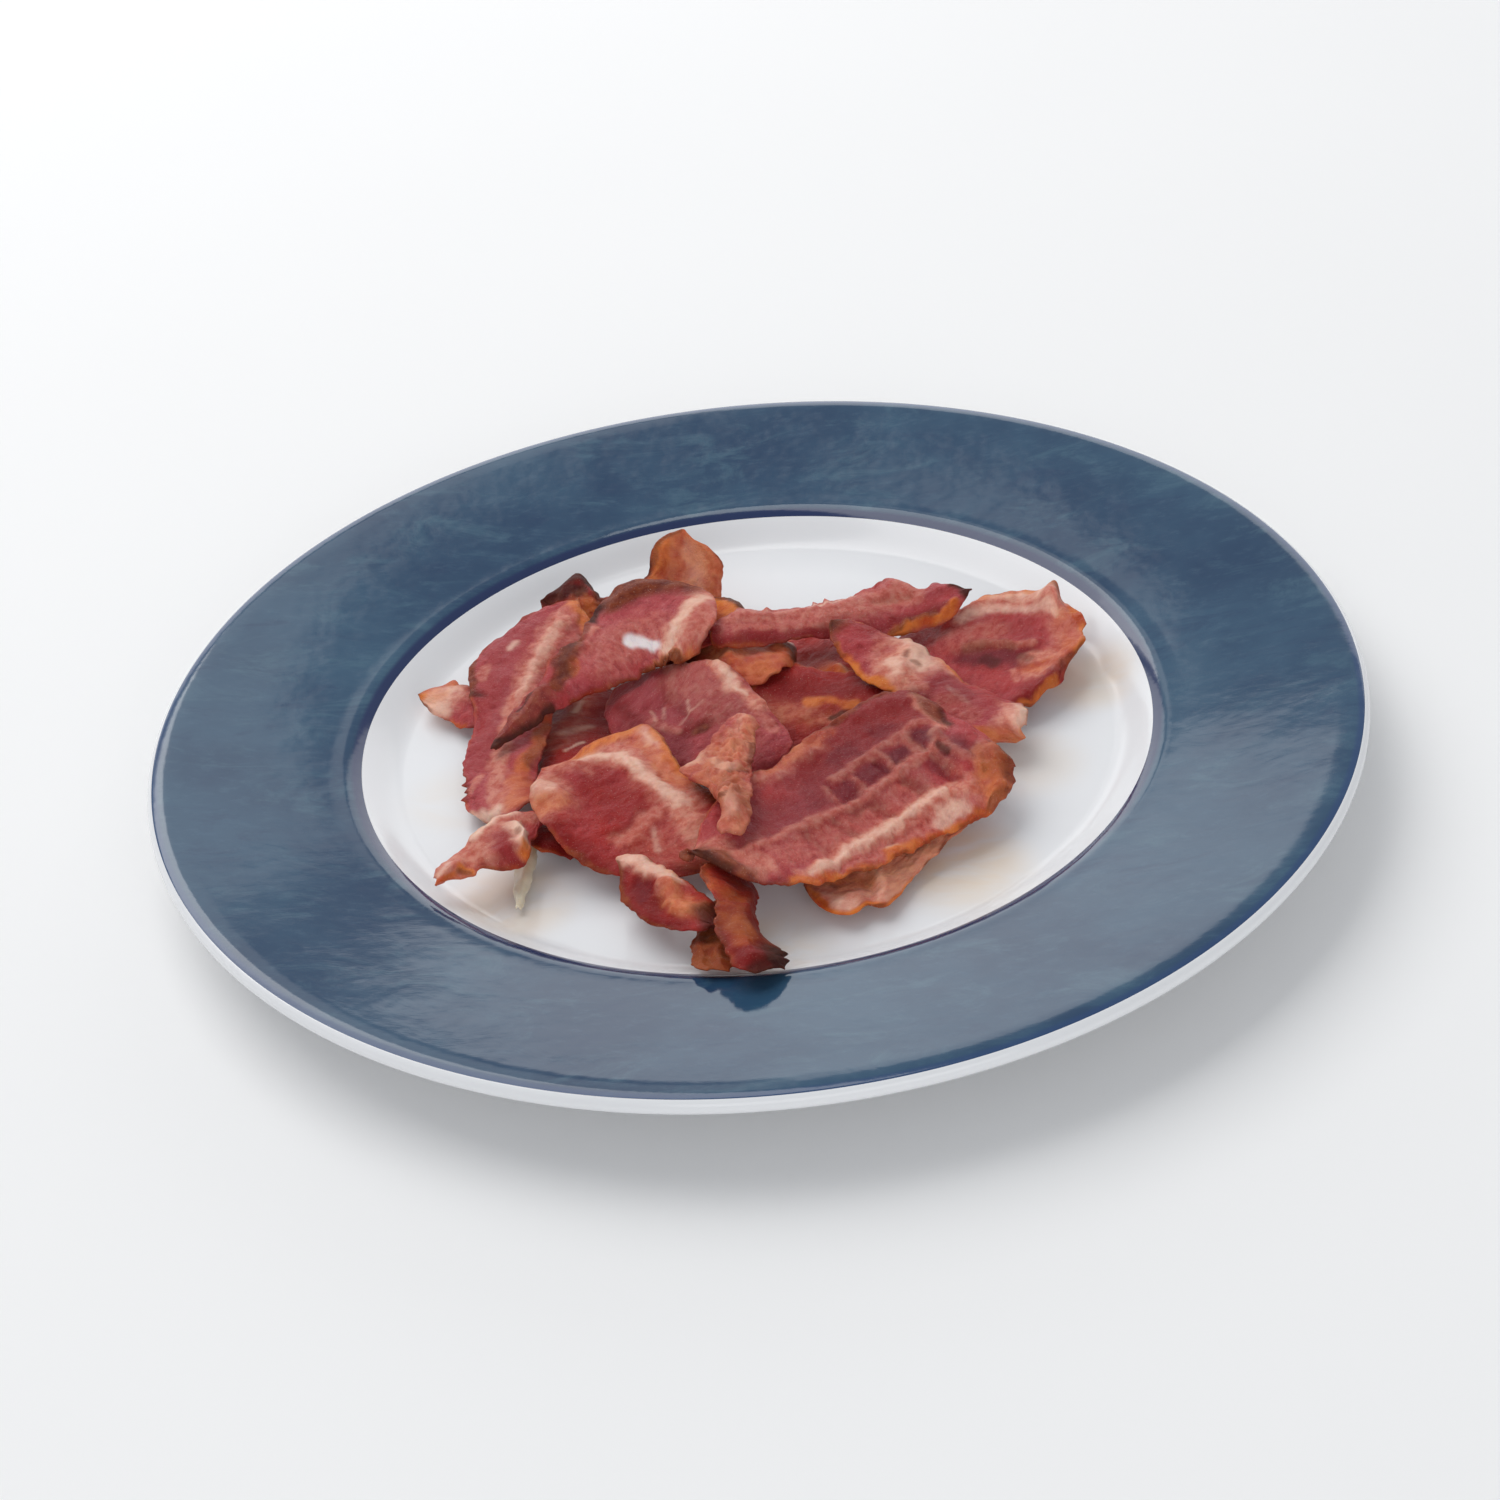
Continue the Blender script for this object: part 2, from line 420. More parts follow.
                  (1.6, 1, (10, 0), (50, 0), (75, 2)), (2.6, 0.9, (63, 72), (66, 42)),
                  (3.4, 1.6, (10, 95), (20, 85))),
            fat=((5.2, 70, (5, 60), (12, 42), (20, 30), (28, 26), (36, 22), (46, 20), (55, 20), (65, 22)),
                 (3, 85, (5, 62), (12, 46), (20, 37), (28, 32), (36, 27), (46, 25), (55, 23),
                  (65, 25), (76, 26), (88, 30)),
                 (5, 90, (8, 2), (20, 2), (34, 2), (50, 2)), (6, 95, (8, 98), (20, 90)),
                 (2.4, 50, (60, 72), (63, 56), (64, 42)), (7, 25, (70, 60), (80, 55)),
                 (3, 60, (92, 30), (98, 50))),
            pale=((1.9, 65, (10, 50), (20, 36), (28, 31), (36, 27), (46, 25), (55, 23), (66, 25)),
                  (2.2, 50, (10, 2), (20, 4), (28, 6)), (2.4, 50, (10, 92), (16, 86)),
                  (0.9, 35, (70, 50), (78, 60))),
            amber=((2, 85, (8, 0), (20, 0), (36, 0), (50, 0)),
                   (2.4, 35, (20, 16), (34, 12), (50, 10), (62, 10)), (4.6, 85, (0, 20), (3, 5), (8, 0)),
                   (2.2, 75, (42, 3), (56, 0), (66, 0)), (3, 40, (20, 98), (26, 84))),
            brown=((1.8, 80, (62, 0), (72, 0), (80, 0)), (0.6, 60, (10, 0), (30, 0), (45, 0)),
                   (1.2, 60, (50, 100), (70, 100)), (3.4, 70, (96, 80), (100, 95))),
            deep=((1.6, 50, (66, 6), (76, 5)), (7, 40, (25, 55), (42, 50), (50, 40)),
                  (3, 60, (34, 97), (50, 97), (66, 98))))),
    "top_left": dict(
        start=(-9, 25), heading=138, turn=(78, 12, 0), length=73,
        left=(10, 13, 12.5, 9, 4.5, 2), right=(7, 18.5, 9, 4.5, 3, 2), height=(20.5, 21.5, 19.5, 13.5),
        ends=(3, 5),
        tone=0.25, grain=75, rim=0.4, frill=0.7, rough=0.6,
        bumps=dict(
            left=((6, 2, 1.2), (20, 2, 0.8), (42, 1.2, 0.8)),
            right=((45, 2, -1.2), (60, 3, 1.5), (24, 3, 1)),
            end=((50, 2, 1),)),
        marks=dict(
            lift=((1.8, 1, (72, 70), (85, 65), (96, 60)), (1.6, 1, (2, 2), (34, 2)),
                  (2.4, 0.7, (14, 95), (30, 94)), (3, -0.6, (20, 30), (34, 40))),
            fat=((6, 55, (0, 30), (4, 70)), (3.2, 90, (8, 86), (11, 50), (14, 20), (14, 2)),
                 (7, 30, (20, 30), (30, 40), (45, 50)), (1.2, 60, (38, 82), (42, 86)),
                 (1.6, 30, (76, 60), (86, 55)), (0.7, 35, (30, 60), (44, 62))),
            pale=((1.9, 70, (8, 84), (11, 60), (13, 35), (15, 10)),),
            amber=((1.4, 60, (56, 66), (60, 50)), (2.2, 60, (2, 0), (12, 0), (30, 0))),
            brown=((4.2, 90, (12, 97), (20, 94), (29, 94)), (1.4, 70, (36, 97), (46, 98)),
                   (2.8, 85, (48, 95), (55, 86), (61, 70), (66, 50)), (1.4, 85, (5, 0), (10, 0)),
                   (1.8, 85, (20, 0), (34, 0)), (4.4, 60, (74, 55), (86, 50), (98, 50))),
            char=((2, 90, (32, 100), (36, 98)), (1, 40, (50, 92), (57, 82), (63, 60)),
                  (1.6, 85, (76, 3), (84, 3), (93, 8), (100, 40)), (0.6, 60, (72, 80), (84, 80))),
            deep=((1, 90, (34, 0), (50, 0), (68, 0)),),
            mauve=((3.4, 50, (16, 90), (28, 90)),),
            white=((2.6, 85, (25, 22), (32, 37)),))),
    "front_curl": dict(
        start=(-35, -59), heading=-62, turn=(14,), length=34,
        left=(3, 7, 7, 6), right=(1, 5.5, 7.5, 5), height=(13, 12, 11.5), ends=(4, 2),
        tone=0.8, grain=20, rim=0.5, frill=0.6, rough=0.5,
        bumps=dict(
            left=((5, 4, 2.6),),
            right=((30, 2, 0.8), (72, 5, -2.4)),
            start=((50, 3, 1.2),),
            end=((50, 5, 2.5),)),
        marks=dict(
            lift=((2.4, 1.4, (0, 35), (30, 22), (50, 25)), (2.4, 1.6, (52, 36), (78, 42)),
                  (2, -0.8, (30, 60), (60, 70))),
            fat=((2.6, 90, (0, 30), (15, 22), (35, 18), (50, 20)),
                 (2.6, 80, (50, 34), (62, 38), (78, 42))),
            pale=((2, 75, (0, 30), (15, 20), (35, 16), (50, 15)),),
            amber=((3.2, 50, (56, 36), (70, 40), (85, 40)),),
            brown=((1.4, 70, (5, 100), (40, 100)), (0.9, 60, (20, 100), (50, 100), (80, 100)),
                   (1.6, 70, (80, 0), (90, 0))),
            char=((3, 80, (92, 20), (100, 50)),),
            deep=((3.4, 75, (10, 92), (40, 95), (80, 90)), (3.6, 85, (30, 60), (42, 62), (60, 75))),
            mauve=((2, 40, (30, 55), (40, 60)),))),
    "front_hook": dict(
        start=(-8, -66), heading=-94, turn=(4, 36), length=43,
        left=(5, 5.5, 5.5, 7), right=(5, 3.5, 4, 6), height=(10, 11.5, 12, 12.5), ends=(1, 7),
        tone=1, grain=10, rim=0.6, frill=0.6, rough=0.6,
        bumps=dict(
            left=((30, 8, -1.6), (68, 2.5, 3.5), (80, 1.6, 2.6), (92, 1.4, 1.2)),
            right=((15, 8, 4), (55, 7, 1.6), (85, 3, 0.6)),
            end=((50, 6, -1.6),)),
        marks=dict(
            lift=((2.8, 1.5, (45, 55), (70, 60), (88, 65)), (1.4, 0.8, (15, 30), (40, 30))),
            amber=((3, 30, (30, 70), (55, 75)), (2.2, 40, (55, 60), (75, 65))),
            brown=((5, 30, (20, 50), (60, 50)), (2.2, 70, (60, 10), (72, 10), (80, 15)),
                   (0.9, 60, (50, 100), (85, 100))),
            char=((3.4, 95, (80, 5), (90, 10), (96, 20)), (2.4, 75, (98, 30), (100, 90))),
            deep=((4, 70, (0, 50), (10, 50)), (7, 85, (50, 50), (70, 70), (90, 70)),
                  (1.4, 70, (20, 5), (50, 5))))),
    "grill_marked": dict(
        start=(-17, -63), heading=20, turn=(0, -12), length=81,
        left=(2, 17, 22, 27, 34, 33, 4), right=(6, 20, 21, 20, 17, 14, 9), height=(14.5, 15, 16, 15.5),
        ends=(3, 3),
        tone=0.4, grain=85, rim=0.45, frill=0.8, rough=0.5,
        bumps=dict(
            left=((83, 3, 1.5),),
            right=((33, 3, 0.8), (26, 2, 0.8), (62, 3, -0.8), (93, 4, -1.6), (8, 6, 3.5)),
            start=((85, 5, 4),),
            end=((20, 2, 1.5), (85, 3, -0.8))),
        marks=dict(
            dent=((1.2, 55, (46, 51.5), (60, 51), (72, 50)), (1.1, 90, (63, 42), (64.5, 50)),
                  (1.3, 100, (76.5, 42), (77.5, 49)), (1.6, 80, (67, 61), (70, 68), (72, 74)),
                  (1.4, 70, (55, 63), (58, 76)), (1.3, 55, (42, 63), (45, 76)),
                  (1.2, 40, (31, 63), (33, 74)), (1.4, 60, (80, 60), (83, 72)),
                  (1.4, 50, (50, 62), (52, 62))),
            ridge=((1.9, 90, (6, 70), (16, 62), (26, 57), (42, 57), (60, 56.5), (68, 55), (78, 52),
                    (82, 44), (84, 34)),
                   (1.5, 70, (50, 36.5), (63, 36), (74, 35), (79, 29), (84, 28)),
                   (1.2, 70, (65.5, 36), (67, 55)), (1.3, 80, (74, 36), (77, 52)),
                   (1.1, 55, (54, 37), (56, 56)), (1, 45, (45, 37), (46, 56)),
                   (1.4, 50, (68, 57), (73, 70), (76, 78)), (1.3, 50, (56, 58), (61, 70), (64, 80)),
                   (1.2, 40, (44, 58), (47, 70), (50, 80)), (1.3, 60, (78, 53), (84, 64), (86, 74)),
                   (1.4, 65, (83, 36), (84, 46), (86, 54), (90, 60))),
            lift=((1.6, 1.2, (2, 85), (8, 96)), (1.5, 0.5, (22, 100), (45, 99), (70, 98), (90, 96)),
                  (2.4, 1.6, (95, 40), (95, 85)), (1.2, -0.9, (90, 40), (90, 70)),
                  (2.4, 0.9, (30, 90), (60, 82), (85, 80)), (1.6, -0.6, (36, 92), (60, 90), (70, 90))),
            fat=((3.6, 45, (30, 5), (42, 4), (50, 6)), (2, 75, (83, 6), (85, 16), (85, 30)),
                 (6, 25, (20, 70), (45, 70), (70, 68)),
                 (3.2, 85, (25, 96), (32, 88), (40, 84), (50, 83), (60, 82), (70, 80), (82, 80)),
                 (4.4, 55, (68, 84), (80, 86), (87, 78)), (4.5, 35, (35, 95), (50, 93), (66, 92)),
                 (3.6, 65, (3, 40), (8, 70), (14, 82)), (1.6, 60, (3, 85), (7, 92)),
                 (5.5, 55, (95, 40), (95, 70), (92, 88))),
            pale=((1.7, 60, (27, 94), (34, 87), (48, 83), (62, 81), (76, 79)),
                  (2.4, 60, (72, 93), (80, 90)), (1, 70, (53, 93), (54.5, 93))),
            amber=((2.6, 35, (34, 2), (46, 4), (56, 4)), (2, 85, (20, 100), (26, 100), (36, 100)),
                   (1.3, 75, (36, 100), (50, 100)), (2.2, 85, (52, 98), (60, 98), (66, 100)),
                   (1.6, 85, (68, 100), (80, 99), (88, 98)), (5, 65, (95, 45), (95, 70), (93, 88))),
            brown=((1.6, 70, (56, 0), (66, 0), (78, 0)), (2.4, 75, (84, 0), (86, 8), (87, 20)),
                   (3.4, 85, (0, 75), (2, 100), (8, 100)), (5, 35, (97, 30), (98, 70)),
                   (2.6, 80, (99, 10), (100, 50), (100, 90)), (1.4, 60, (96, 95), (90, 97)),
                   (0.5, 50, (92, 50), (91, 66))),
            char=((0.9, 60, (88, 5), (88, 20)), (1, 70, (82, 47), (84, 54)), (0.9, 70, (1, 98), (5, 100))),
            deep=((10, 70, (46, 20), (60, 16), (78, 14)), (6, 25, (30, 30), (45, 30), (55, 30)),
                  (3, 50, (58, 46), (62.5, 46)), (2.6, 50, (68, 45.5), (72.5, 45)),
                  (1, 70, (10, 100), (22, 98))),
            mauve=((9, 45, (30, 46), (50, 47), (70, 45)), (2.8, 60, (39, 46), (43, 46)),
                   (3, 80, (48.5, 46), (52.5, 46)), (3.1, 85, (58, 46), (62.5, 46)),
                   (3.1, 95, (68, 45.5), (72.5, 45)), (3.2, 100, (78, 40), (81.5, 40)),
                   (3.8, 75, (87.5, 46), (90, 48)), (3.2, 65, (79, 58), (82.5, 58)),
                   (3, 45, (70, 64), (72, 65)), (2.8, 55, (54, 24), (60, 26)),
                   (2.8, 55, (68, 24), (72, 26))))),
    "crumbly": dict(
        start=(-3, -14), heading=-98, turn=(4,), length=50,
        left=(4.5, 4, 4, 4.5, 5), right=(3.5, 8, 12, 6, 4), height=(16, 15, 17.5, 16.5), ends=(3, 4),
        tone=0.35, grain=30, rim=0.2, frill=0.5, rough=0.6, crumb=1,
        bumps=dict(
            left=((5, 2, 1),),
            right=((68, 6, -5.5), (84, 4, -2), (42, 3, 1.5))),
        marks=dict(
            lift=((3.6, 2, (78, 45), (90, 45)), (1.6, 1.2, (26, 42), (28, 46)),
                  (1.5, 1.2, (46, 62), (48, 60)), (2, 0.8, (0, 20), (30, 15))),
            fat=((5, 90, (0, 30), (10, 25), (25, 20), (34, 20)), (7, 60, (30, 80), (45, 55), (60, 50)),
                 (8, 95, (76, 40), (92, 45)), (2, 60, (95, 50), (100, 50))),
            pale=((2, 60, (34, 95), (40, 86)), (1.8, 60, (46, 42), (50, 34)), (1, 50, (40, 62), (44, 52)),
                  (1.6, 45, (80, 55), (90, 50))),
            amber=((2.4, 30, (5, 10), (25, 8)), (9, 30, (35, 50), (90, 50)), (5, 30, (78, 30), (92, 35))),
            brown=((1.2, 80, (24, 0), (34, 0), (46, 3)), (1.2, 70, (50, 12), (54, 30)),
                   (2.6, 35, (60, 40), (70, 40)), (3.4, 35, (74, 15), (84, 10)),
                   (0.5, 70, (77, 72), (80, 60), (78, 50))),
            deep=((6, 35, (30, 60), (60, 50)), (1.6, 50, (27, 42), (29, 46)),
                  (1.3, 45, (38, 72), (40, 66)), (1.2, 45, (46, 64), (48, 56))))),
}
PERCENT = 0.01
FIRST_SEED = 1000
SEED_STEP = 100             # from one strip to the next

# ---- the kinds of mark. Their strengths go to two colour attributes, in this order
LIGHT_MARKS = ("fat", "pale", "amber", "brown")
DARK_MARKS = ("char", "deep", "mauve", "white")
SOFTNESS = {"fat": (1.5, 0.4), "pale": (1.6, 0.2), "amber": (1.45, 0.4), "brown": (1.5, 0.4),
            "char": (1.5, 0.4), "deep": (1.8, 0.1), "mauve": (1.6, 0.3),
            "white": (1.3, 0.6)}       # shares of a stroke's half width where it fades out
WHITE_WANDER = 0.15         # share of the wander that a white line follows
WANDER_WIDTH = 1.5          # strokes of at least this half width follow all of it, mm
GROOVE_DEPTH = 0.8          # height of a ridge and depth of a dent at full strength, mm
RIDGE_FAT = 0.5             # how much of a ridge's strength shows as fat

# ---- noise on the strips: pairs of height and size of the lumps, both in mm
STROKE_WANDER = ((0.9, 5.0), (0.45, 1.7))
RAGGEDNESS = ((0.9, 4.5), (0.7, 1.6), (0.4, 0.8))      # for a rough of 1
SLOW_WAVE = ((0.8, 11.0), (0.25, 5.0))
FIBRES = ((0.16, (6.0, 2.0)), (0.07, (2.4, 1.0)))      # the lumps are long along the fibres
STROKE_SWELL = (0.25, 3.0)             # the height is a share of a stroke's half width
FRILL_WAVE = (1.1, 6.5)                # for a frill of 1
LUMPS = (0.26, 5.2)
FAT_BLISTERS = (0.10, 2.4)
CHAR_CRUST = (0.25, 1.6)
CRUMBS = (0.9, 3.4)                    # for a crumb of 1
FINE_CRUMBS = (0.3, 1.3)
UNDERSIDE = (0.15, 3.0)
FAT_SMOOTHNESS = 0.6        # share of the fibres' relief that fat hides
BROWN_CRUST = 0.6           # how crusty browned meat is beside char
FAT_RISE = 0.15             # fat stands this far above the meat, mm
LAYER_FALLOFF = 0.55        # height of each finer layer of a cloud, as a share of the one before
NOISE_CELLS = 64
NOISE_ORIGIN = (17.3, 31.7)

# ---- the thin fried line round a strip's outline
RIM_STRENGTH = 0.65
RIM_REACH = 0.9             # mm
RIM_SWELL = (0.5, 4.0)      # noise in its reach
RIM_BREAKS = (0.9, 6.0)     # noise that breaks it up
RIM_FADE = (1.5, 0.4)       # shares of its reach between which it fades out
BURNT_STRENGTH = 1.2
BURNT_SPOTS = 5.0           # size of the burnt spots on it, mm
BURNT_LEVELS = (-0.1, 0.5)  # noise between which a spot begins and is full
BURNT_FADE = (1.0, 0.3)


# ---- smooth curves and noise

def smooth_step(low, high, x):
    """0 below low, 1 above high, with a smooth rise between. low may be the larger one."""
    t = np.clip((x - low) / (high - low), 0.0, 1.0)
    return t * t * (3.0 - 2.0 * t)


def spline(knots, values, places):
    """Natural cubic spline through values, which run along the first axis, read at the places."""
    knots = np.asarray(knots, float)
    values = np.asarray(values, float)
    places = np.asarray(places, float)
    count = len(knots)
    gap = np.diff(knots)
    matrix = np.eye(count)
    right_side = np.zeros_like(values)
    for k in range(1, count - 1):
        matrix[k, k - 1:k + 2] = (gap[k - 1] / 6.0, (gap[k - 1] + gap[k]) / 3.0, gap[k] / 6.0)
        right_side[k] = (values[k + 1] - values[k]) / gap[k] - (values[k] - values[k - 1]) / gap[k - 1]
    bend = np.linalg.solve(matrix, right_side.reshape(count, -1)).reshape(values.shape)
    i = np.clip(np.searchsorted(knots, places, side="right") - 1, 0, count - 2)
    shape = (-1,) + (1,) * (values.ndim - 1)
    wide = gap[i].reshape(shape)
    b = ((places - knots[i]) / gap[i]).reshape(shape)
    a = 1.0 - b
    return (a * values[i] + b * values[i + 1]
            + ((a ** 3 - a) * bend[i] + (b ** 3 - b) * bend[i + 1]) * wide ** 2 / 6.0)


def along(values, count):
    """Natural cubic spline through evenly spaced values, read at count even places."""
    return spline(np.arange(len(values)), values, np.linspace(0.0, len(values) - 1.0, count))


def noise(x, y, size, seed):
    """Smooth noise between about -1 and 1 over a plane, with lumps of a given size (or sizes) in mm."""
    size_x, size_y = size if isinstance(size, tuple) else (size, size)
    table = np.random.RandomState(seed).uniform(-1.0, 1.0, (NOISE_CELLS, NOISE_CELLS))
    px = x / size_x + NOISE_ORIGIN[0]
    py = y / size_y + NOISE_ORIGIN[1]
    ix = np.floor(px).astype(int)
    iy = np.floor(py).astype(int)
    fx = px - ix
    fy = py - iy
    fx = fx * fx * fx * (fx * (fx * 6.0 - 15.0) + 10.0)
    fy = fy * fy * fy * (fy * (fy * 6.0 - 15.0) + 10.0)

    def corner(dx, dy):
        return table[(ix + dx) % NOISE_CELLS, (iy + dy) % NOISE_CELLS]

    low = corner(0, 0) * (1.0 - fx) + corner(1, 0) * fx
    high = corner(0, 1) * (1.0 - fx) + corner(1, 1) * fx
    return low * (1.0 - fy) + high * fy


def layered(x, y, pairs, seed):
    """Sum of one noise for each pair of height and size."""
    return sum(height * noise(x, y, size, seed + k) for k, (height, size) in enumerate(pairs))


def cloud(x, y, pair, seed, layers=3):
    """Noise of a height and size, with finer and weaker layers on top."""
    height, size = pair
    total = np.zeros_like(x)
    for layer in range(layers):
        total += noise(x, y, size / 2.0 ** layer, seed + 101 * layer) * LAYER_FALLOFF ** layer
    return height * total


# ---- the strips' middle surfaces

def row_count(strip):
    """Cross rows that the strip's solid has."""
    return int(np.clip(round(strip["length"] / ROW_SPACING) + 1, MIN_ROWS, MAX_ROWS))


def centre_line(strip, rows):
    """x, y and heading of the solid's centre line at each row."""
    height = along(strip["height"], rows)
    step = strip["length"] / (rows - 1)
    turns = np.concatenate(([0.0], np.cumsum(strip["turn"])))
    places = np.linspace(0.0, 1.0, len(turns))
    heading = np.radians(strip["heading"] + np.interp(np.linspace(0.0, 1.0, rows), places, turns))
    middle = 0.5 * (heading[1:] + heading[:-1])
    climb = np.diff(height)
    advance = np.sqrt(np.maximum(step ** 2 - climb ** 2, (LEAST_ADVANCE * step) ** 2))
    x = strip["start"][0] + np.concatenate(([0.0], np.cumsum(advance * np.cos(middle))))
    y = strip["start"][1] + np.concatenate(([0.0], np.cumsum(advance * np.sin(middle))))
    return x, y, heading


def edge_reaches(strip, rows):
    """How far the left and right edges stand from the centre line at each row."""
    share = np.ones(rows)
    distance = np.linspace(0.0, strip["length"], rows)
    for reach, from_end in zip(strip["ends"], (distance, distance[::-1])):
        inside = np.clip(1.0 - from_end / reach, 0.0, 1.0)
        share = share * np.sqrt(1.0 - END_ROUNDING * inside ** 2)
    return along(strip["left"], rows) * share, along(strip["right"], rows) * share


def coarse_grid(name, strip):
    """Rows by columns of points on the strip's middle surface, in mm, with heights from its solid."""
    rows = row_count(strip)
    x, y, heading = centre_line(strip, rows)
    left, right = edge_reaches(strip, rows)
    side = left[:, None] * (1.0 - COLUMNS) - right[:, None] * COLUMNS
    grid = np.empty((rows, len(COLUMNS), 3))
    grid[..., 0] = x[:, None] - side * np.sin(heading)[:, None]
    grid[..., 1] = y[:, None] + side * np.cos(heading)[:, None]
    solid = np.array([vert.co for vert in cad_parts[name].data.vertices]) / MM
    for r in range(rows):
        for c in range(len(COLUMNS)):
            away = np.hypot(solid[:, 0] - grid[r, c, 0], solid[:, 1] - grid[r, c, 1])
            near = away < away.min() + SAME_POINT
            grid[r, c, 2] = solid[near, 2].min() + STRIP_THICKNESS / 2.0
    return grid


def surface_at(grid, u, v):
    """Points of the smooth surface through the coarse grid, for every pair of u and v."""
    rows = grid.shape[0]
    lines = spline(np.arange(rows), grid, np.asarray(u) * (rows - 1))
    return spline(COLUMNS, lines.swapaxes(0, 1), v).swapaxes(0, 1)


def points_at(grid, u, v):
    """Points of the smooth surface for matching lists of u and v."""
    rows = grid.shape[0]
    lines = spline(np.arange(rows), grid, np.asarray(u) * (rows - 1))
    return np.array([spline(COLUMNS, line, [place])[0] for line, place in zip(lines, v)])


def mesh_places(length):
    """Places from 0 to 1 across a span: even in the middle and closer together at the two edges."""
    near = np.array(EDGE_STEPS) / length
    last = 2.0 * near[-1] - near[-2]
    count = max(int((1.0 - 2.0 * last) * length / MESH_STEP), LEAST_POINTS)
    middle = np.linspace(last, 1.0 - last, count)
    return np.concatenate((near, middle, 1.0 - near[::-1]))


def plate_top(radius):
    """Height of the plate's upper surface at a distance from its middle, in mm."""
    well = FLOOR_HEIGHT + (SHOULDER_HEIGHT - FLOOR_HEIGHT) * smooth_step(
        FLOOR_RADIUS, SHOULDER_RADIUS, radius)
    slope = (RIM_CREST_HEIGHT - SHOULDER_HEIGHT) / (RIM_CREST_RADIUS - SHOULDER_RADIUS)
    return np.where(radius > SHOULDER_RADIUS, SHOULDER_HEIGHT + (radius - SHOULDER_RADIUS) * slope, well)


# ---- the strips' detail

def stroke_distance(x, y, grid, points):
    """Distance in plan from each mesh point to a stroke through (u, v) points given in percent."""
    knots = np.arange(len(points))
    places = np.linspace(0.0, len(points) - 1.0, STROKE_SAMPLES)
    u, v = (np.clip(np.interp(places, knots, line) * PERCENT, 0.0, 1.0) for line in zip(*points))
    line = points_at(grid, u, v)[:, :2]
    best = np.full(x.shape, 1e9)
    for a, b in zip(line[:-1], line[1:]):
        run = b - a
        t = np.clip(((x - a[0]) * run[0] + (y - a[1]) * run[1]) / max(run @ run, 1e-9), 0.0, 1.0)
        best = np.minimum(best, np.hypot(x - a[0] - t * run[0], y - a[1] - t * run[1]))
    return best


def paint_marks(strip, grid, x, y, s, t, seed):
    """Strength of each kind of mark, and the height of the raised strokes in mm."""
    warp_x = layered(s, t, STROKE_WANDER, seed + 1)
    warp_y = layered(s, t, STROKE_WANDER, seed + 3)
    swell = 1.0 + STROKE_SWELL[0] * noise(s, t, STROKE_SWELL[1], seed + 5)
    layers = {kind: np.zeros_like(x) for kind in LIGHT_MARKS + DARK_MARKS}
    raised = np.zeros_like(x)

    def paint(kind, strength, width_shares):
        """Keep the stronger of what a layer holds and a stroke that fades out at its sides."""
        far, near = SOFTNESS[kind]
        layers[kind] = np.maximum(layers[kind], strength * smooth_step(far, near, width_shares))

    for kind, strokes in strip["marks"].items():
        for half_width, strength, *points in strokes:
            wander = WHITE_WANDER if kind == "white" else min(1.0, half_width / WANDER_WIDTH)
            away = stroke_distance(x + wander * warp_x, y + wander * warp_y, grid, points)
            mound = np.exp(-(away / half_width) ** 2)
            width_shares = away / (half_width * swell)
            if kind == "lift":
                raised += strength * mound
            elif kind == "ridge":
                raised += GROOVE_DEPTH * PERCENT * strength * mound
                paint("fat", RIDGE_FAT * PERCENT * strength, width_shares)
            elif kind == "dent":
                raised -= GROOVE_DEPTH * PERCENT * strength * mound
                paint("deep", PERCENT * strength, width_shares)
            else:
                paint(kind, PERCENT * strength, width_shares)
    return layers, raised


def outline_shift(strip, edge, places, distance, seed):
    """How far the outline stands out at places along one edge, whose distances along it are given."""
    shift = strip["rough"] * layered(distance, np.zeros_like(distance), RAGGEDNESS, seed)
    span = distance[-1] - distance[0]
    for place, half_width, out in strip["bumps"].get(edge, ()):
        shift = shift + out * np.exp(-((places - PERCENT * place) * span / half_width) ** 2)
    return shift


def unit(vectors):
    """Vectors scaled to a length of 1."""
    return vectors / (np.linalg.norm(vectors, axis=-1, keepdims=True) + 1e-12)


def move_outline(strip, mid, u, v, start_width, end_width, seed):
    """Make the outline ragged, with its bumps, fading to nothing in the middle of the strip."""
    length = strip["length"]
    across = unit(mid[:, :1] - mid[:, -1:])
    lengthwise = unit(np.gradient(mid, axis=0))
    out_left = outline_shift(strip, "left", u, u * length, seed + 11)[:, None]
    out_right = outline_shift(strip, "right", u, u * length, seed + 21)[:, None]
    fade_left = np.clip(1.0 - 2.0 * v, 0.0, 1.0) ** SHIFT_FADE
    fade_right = np.clip(2.0 * v - 1.0, 0.0, 1.0) ** SHIFT_FADE
    mid += across * (out_left * fade_left - out_right * fade_right)[..., None]
    for edge, row, sign, width, far, edge_seed in (
            ("start", 0, -1.0, start_width, u * length, seed + 31),
            ("end", -1, 1.0, end_width, (1.0 - u) * length, seed + 41)):
        out = outline_shift(strip, edge, v, v * width, edge_seed)
        out = out + END_BULGE * width * (1.0 - (2.0 * v - 1.0) ** 2)
        reach = max(END_REACH[0], END_REACH[1] * width)
        fade = np.clip(1.0 - far / reach, 0.0, 1.0) ** SHIFT_FADE
        mid += sign * lengthwise[row] * (fade[:, None] * out)[..., None]


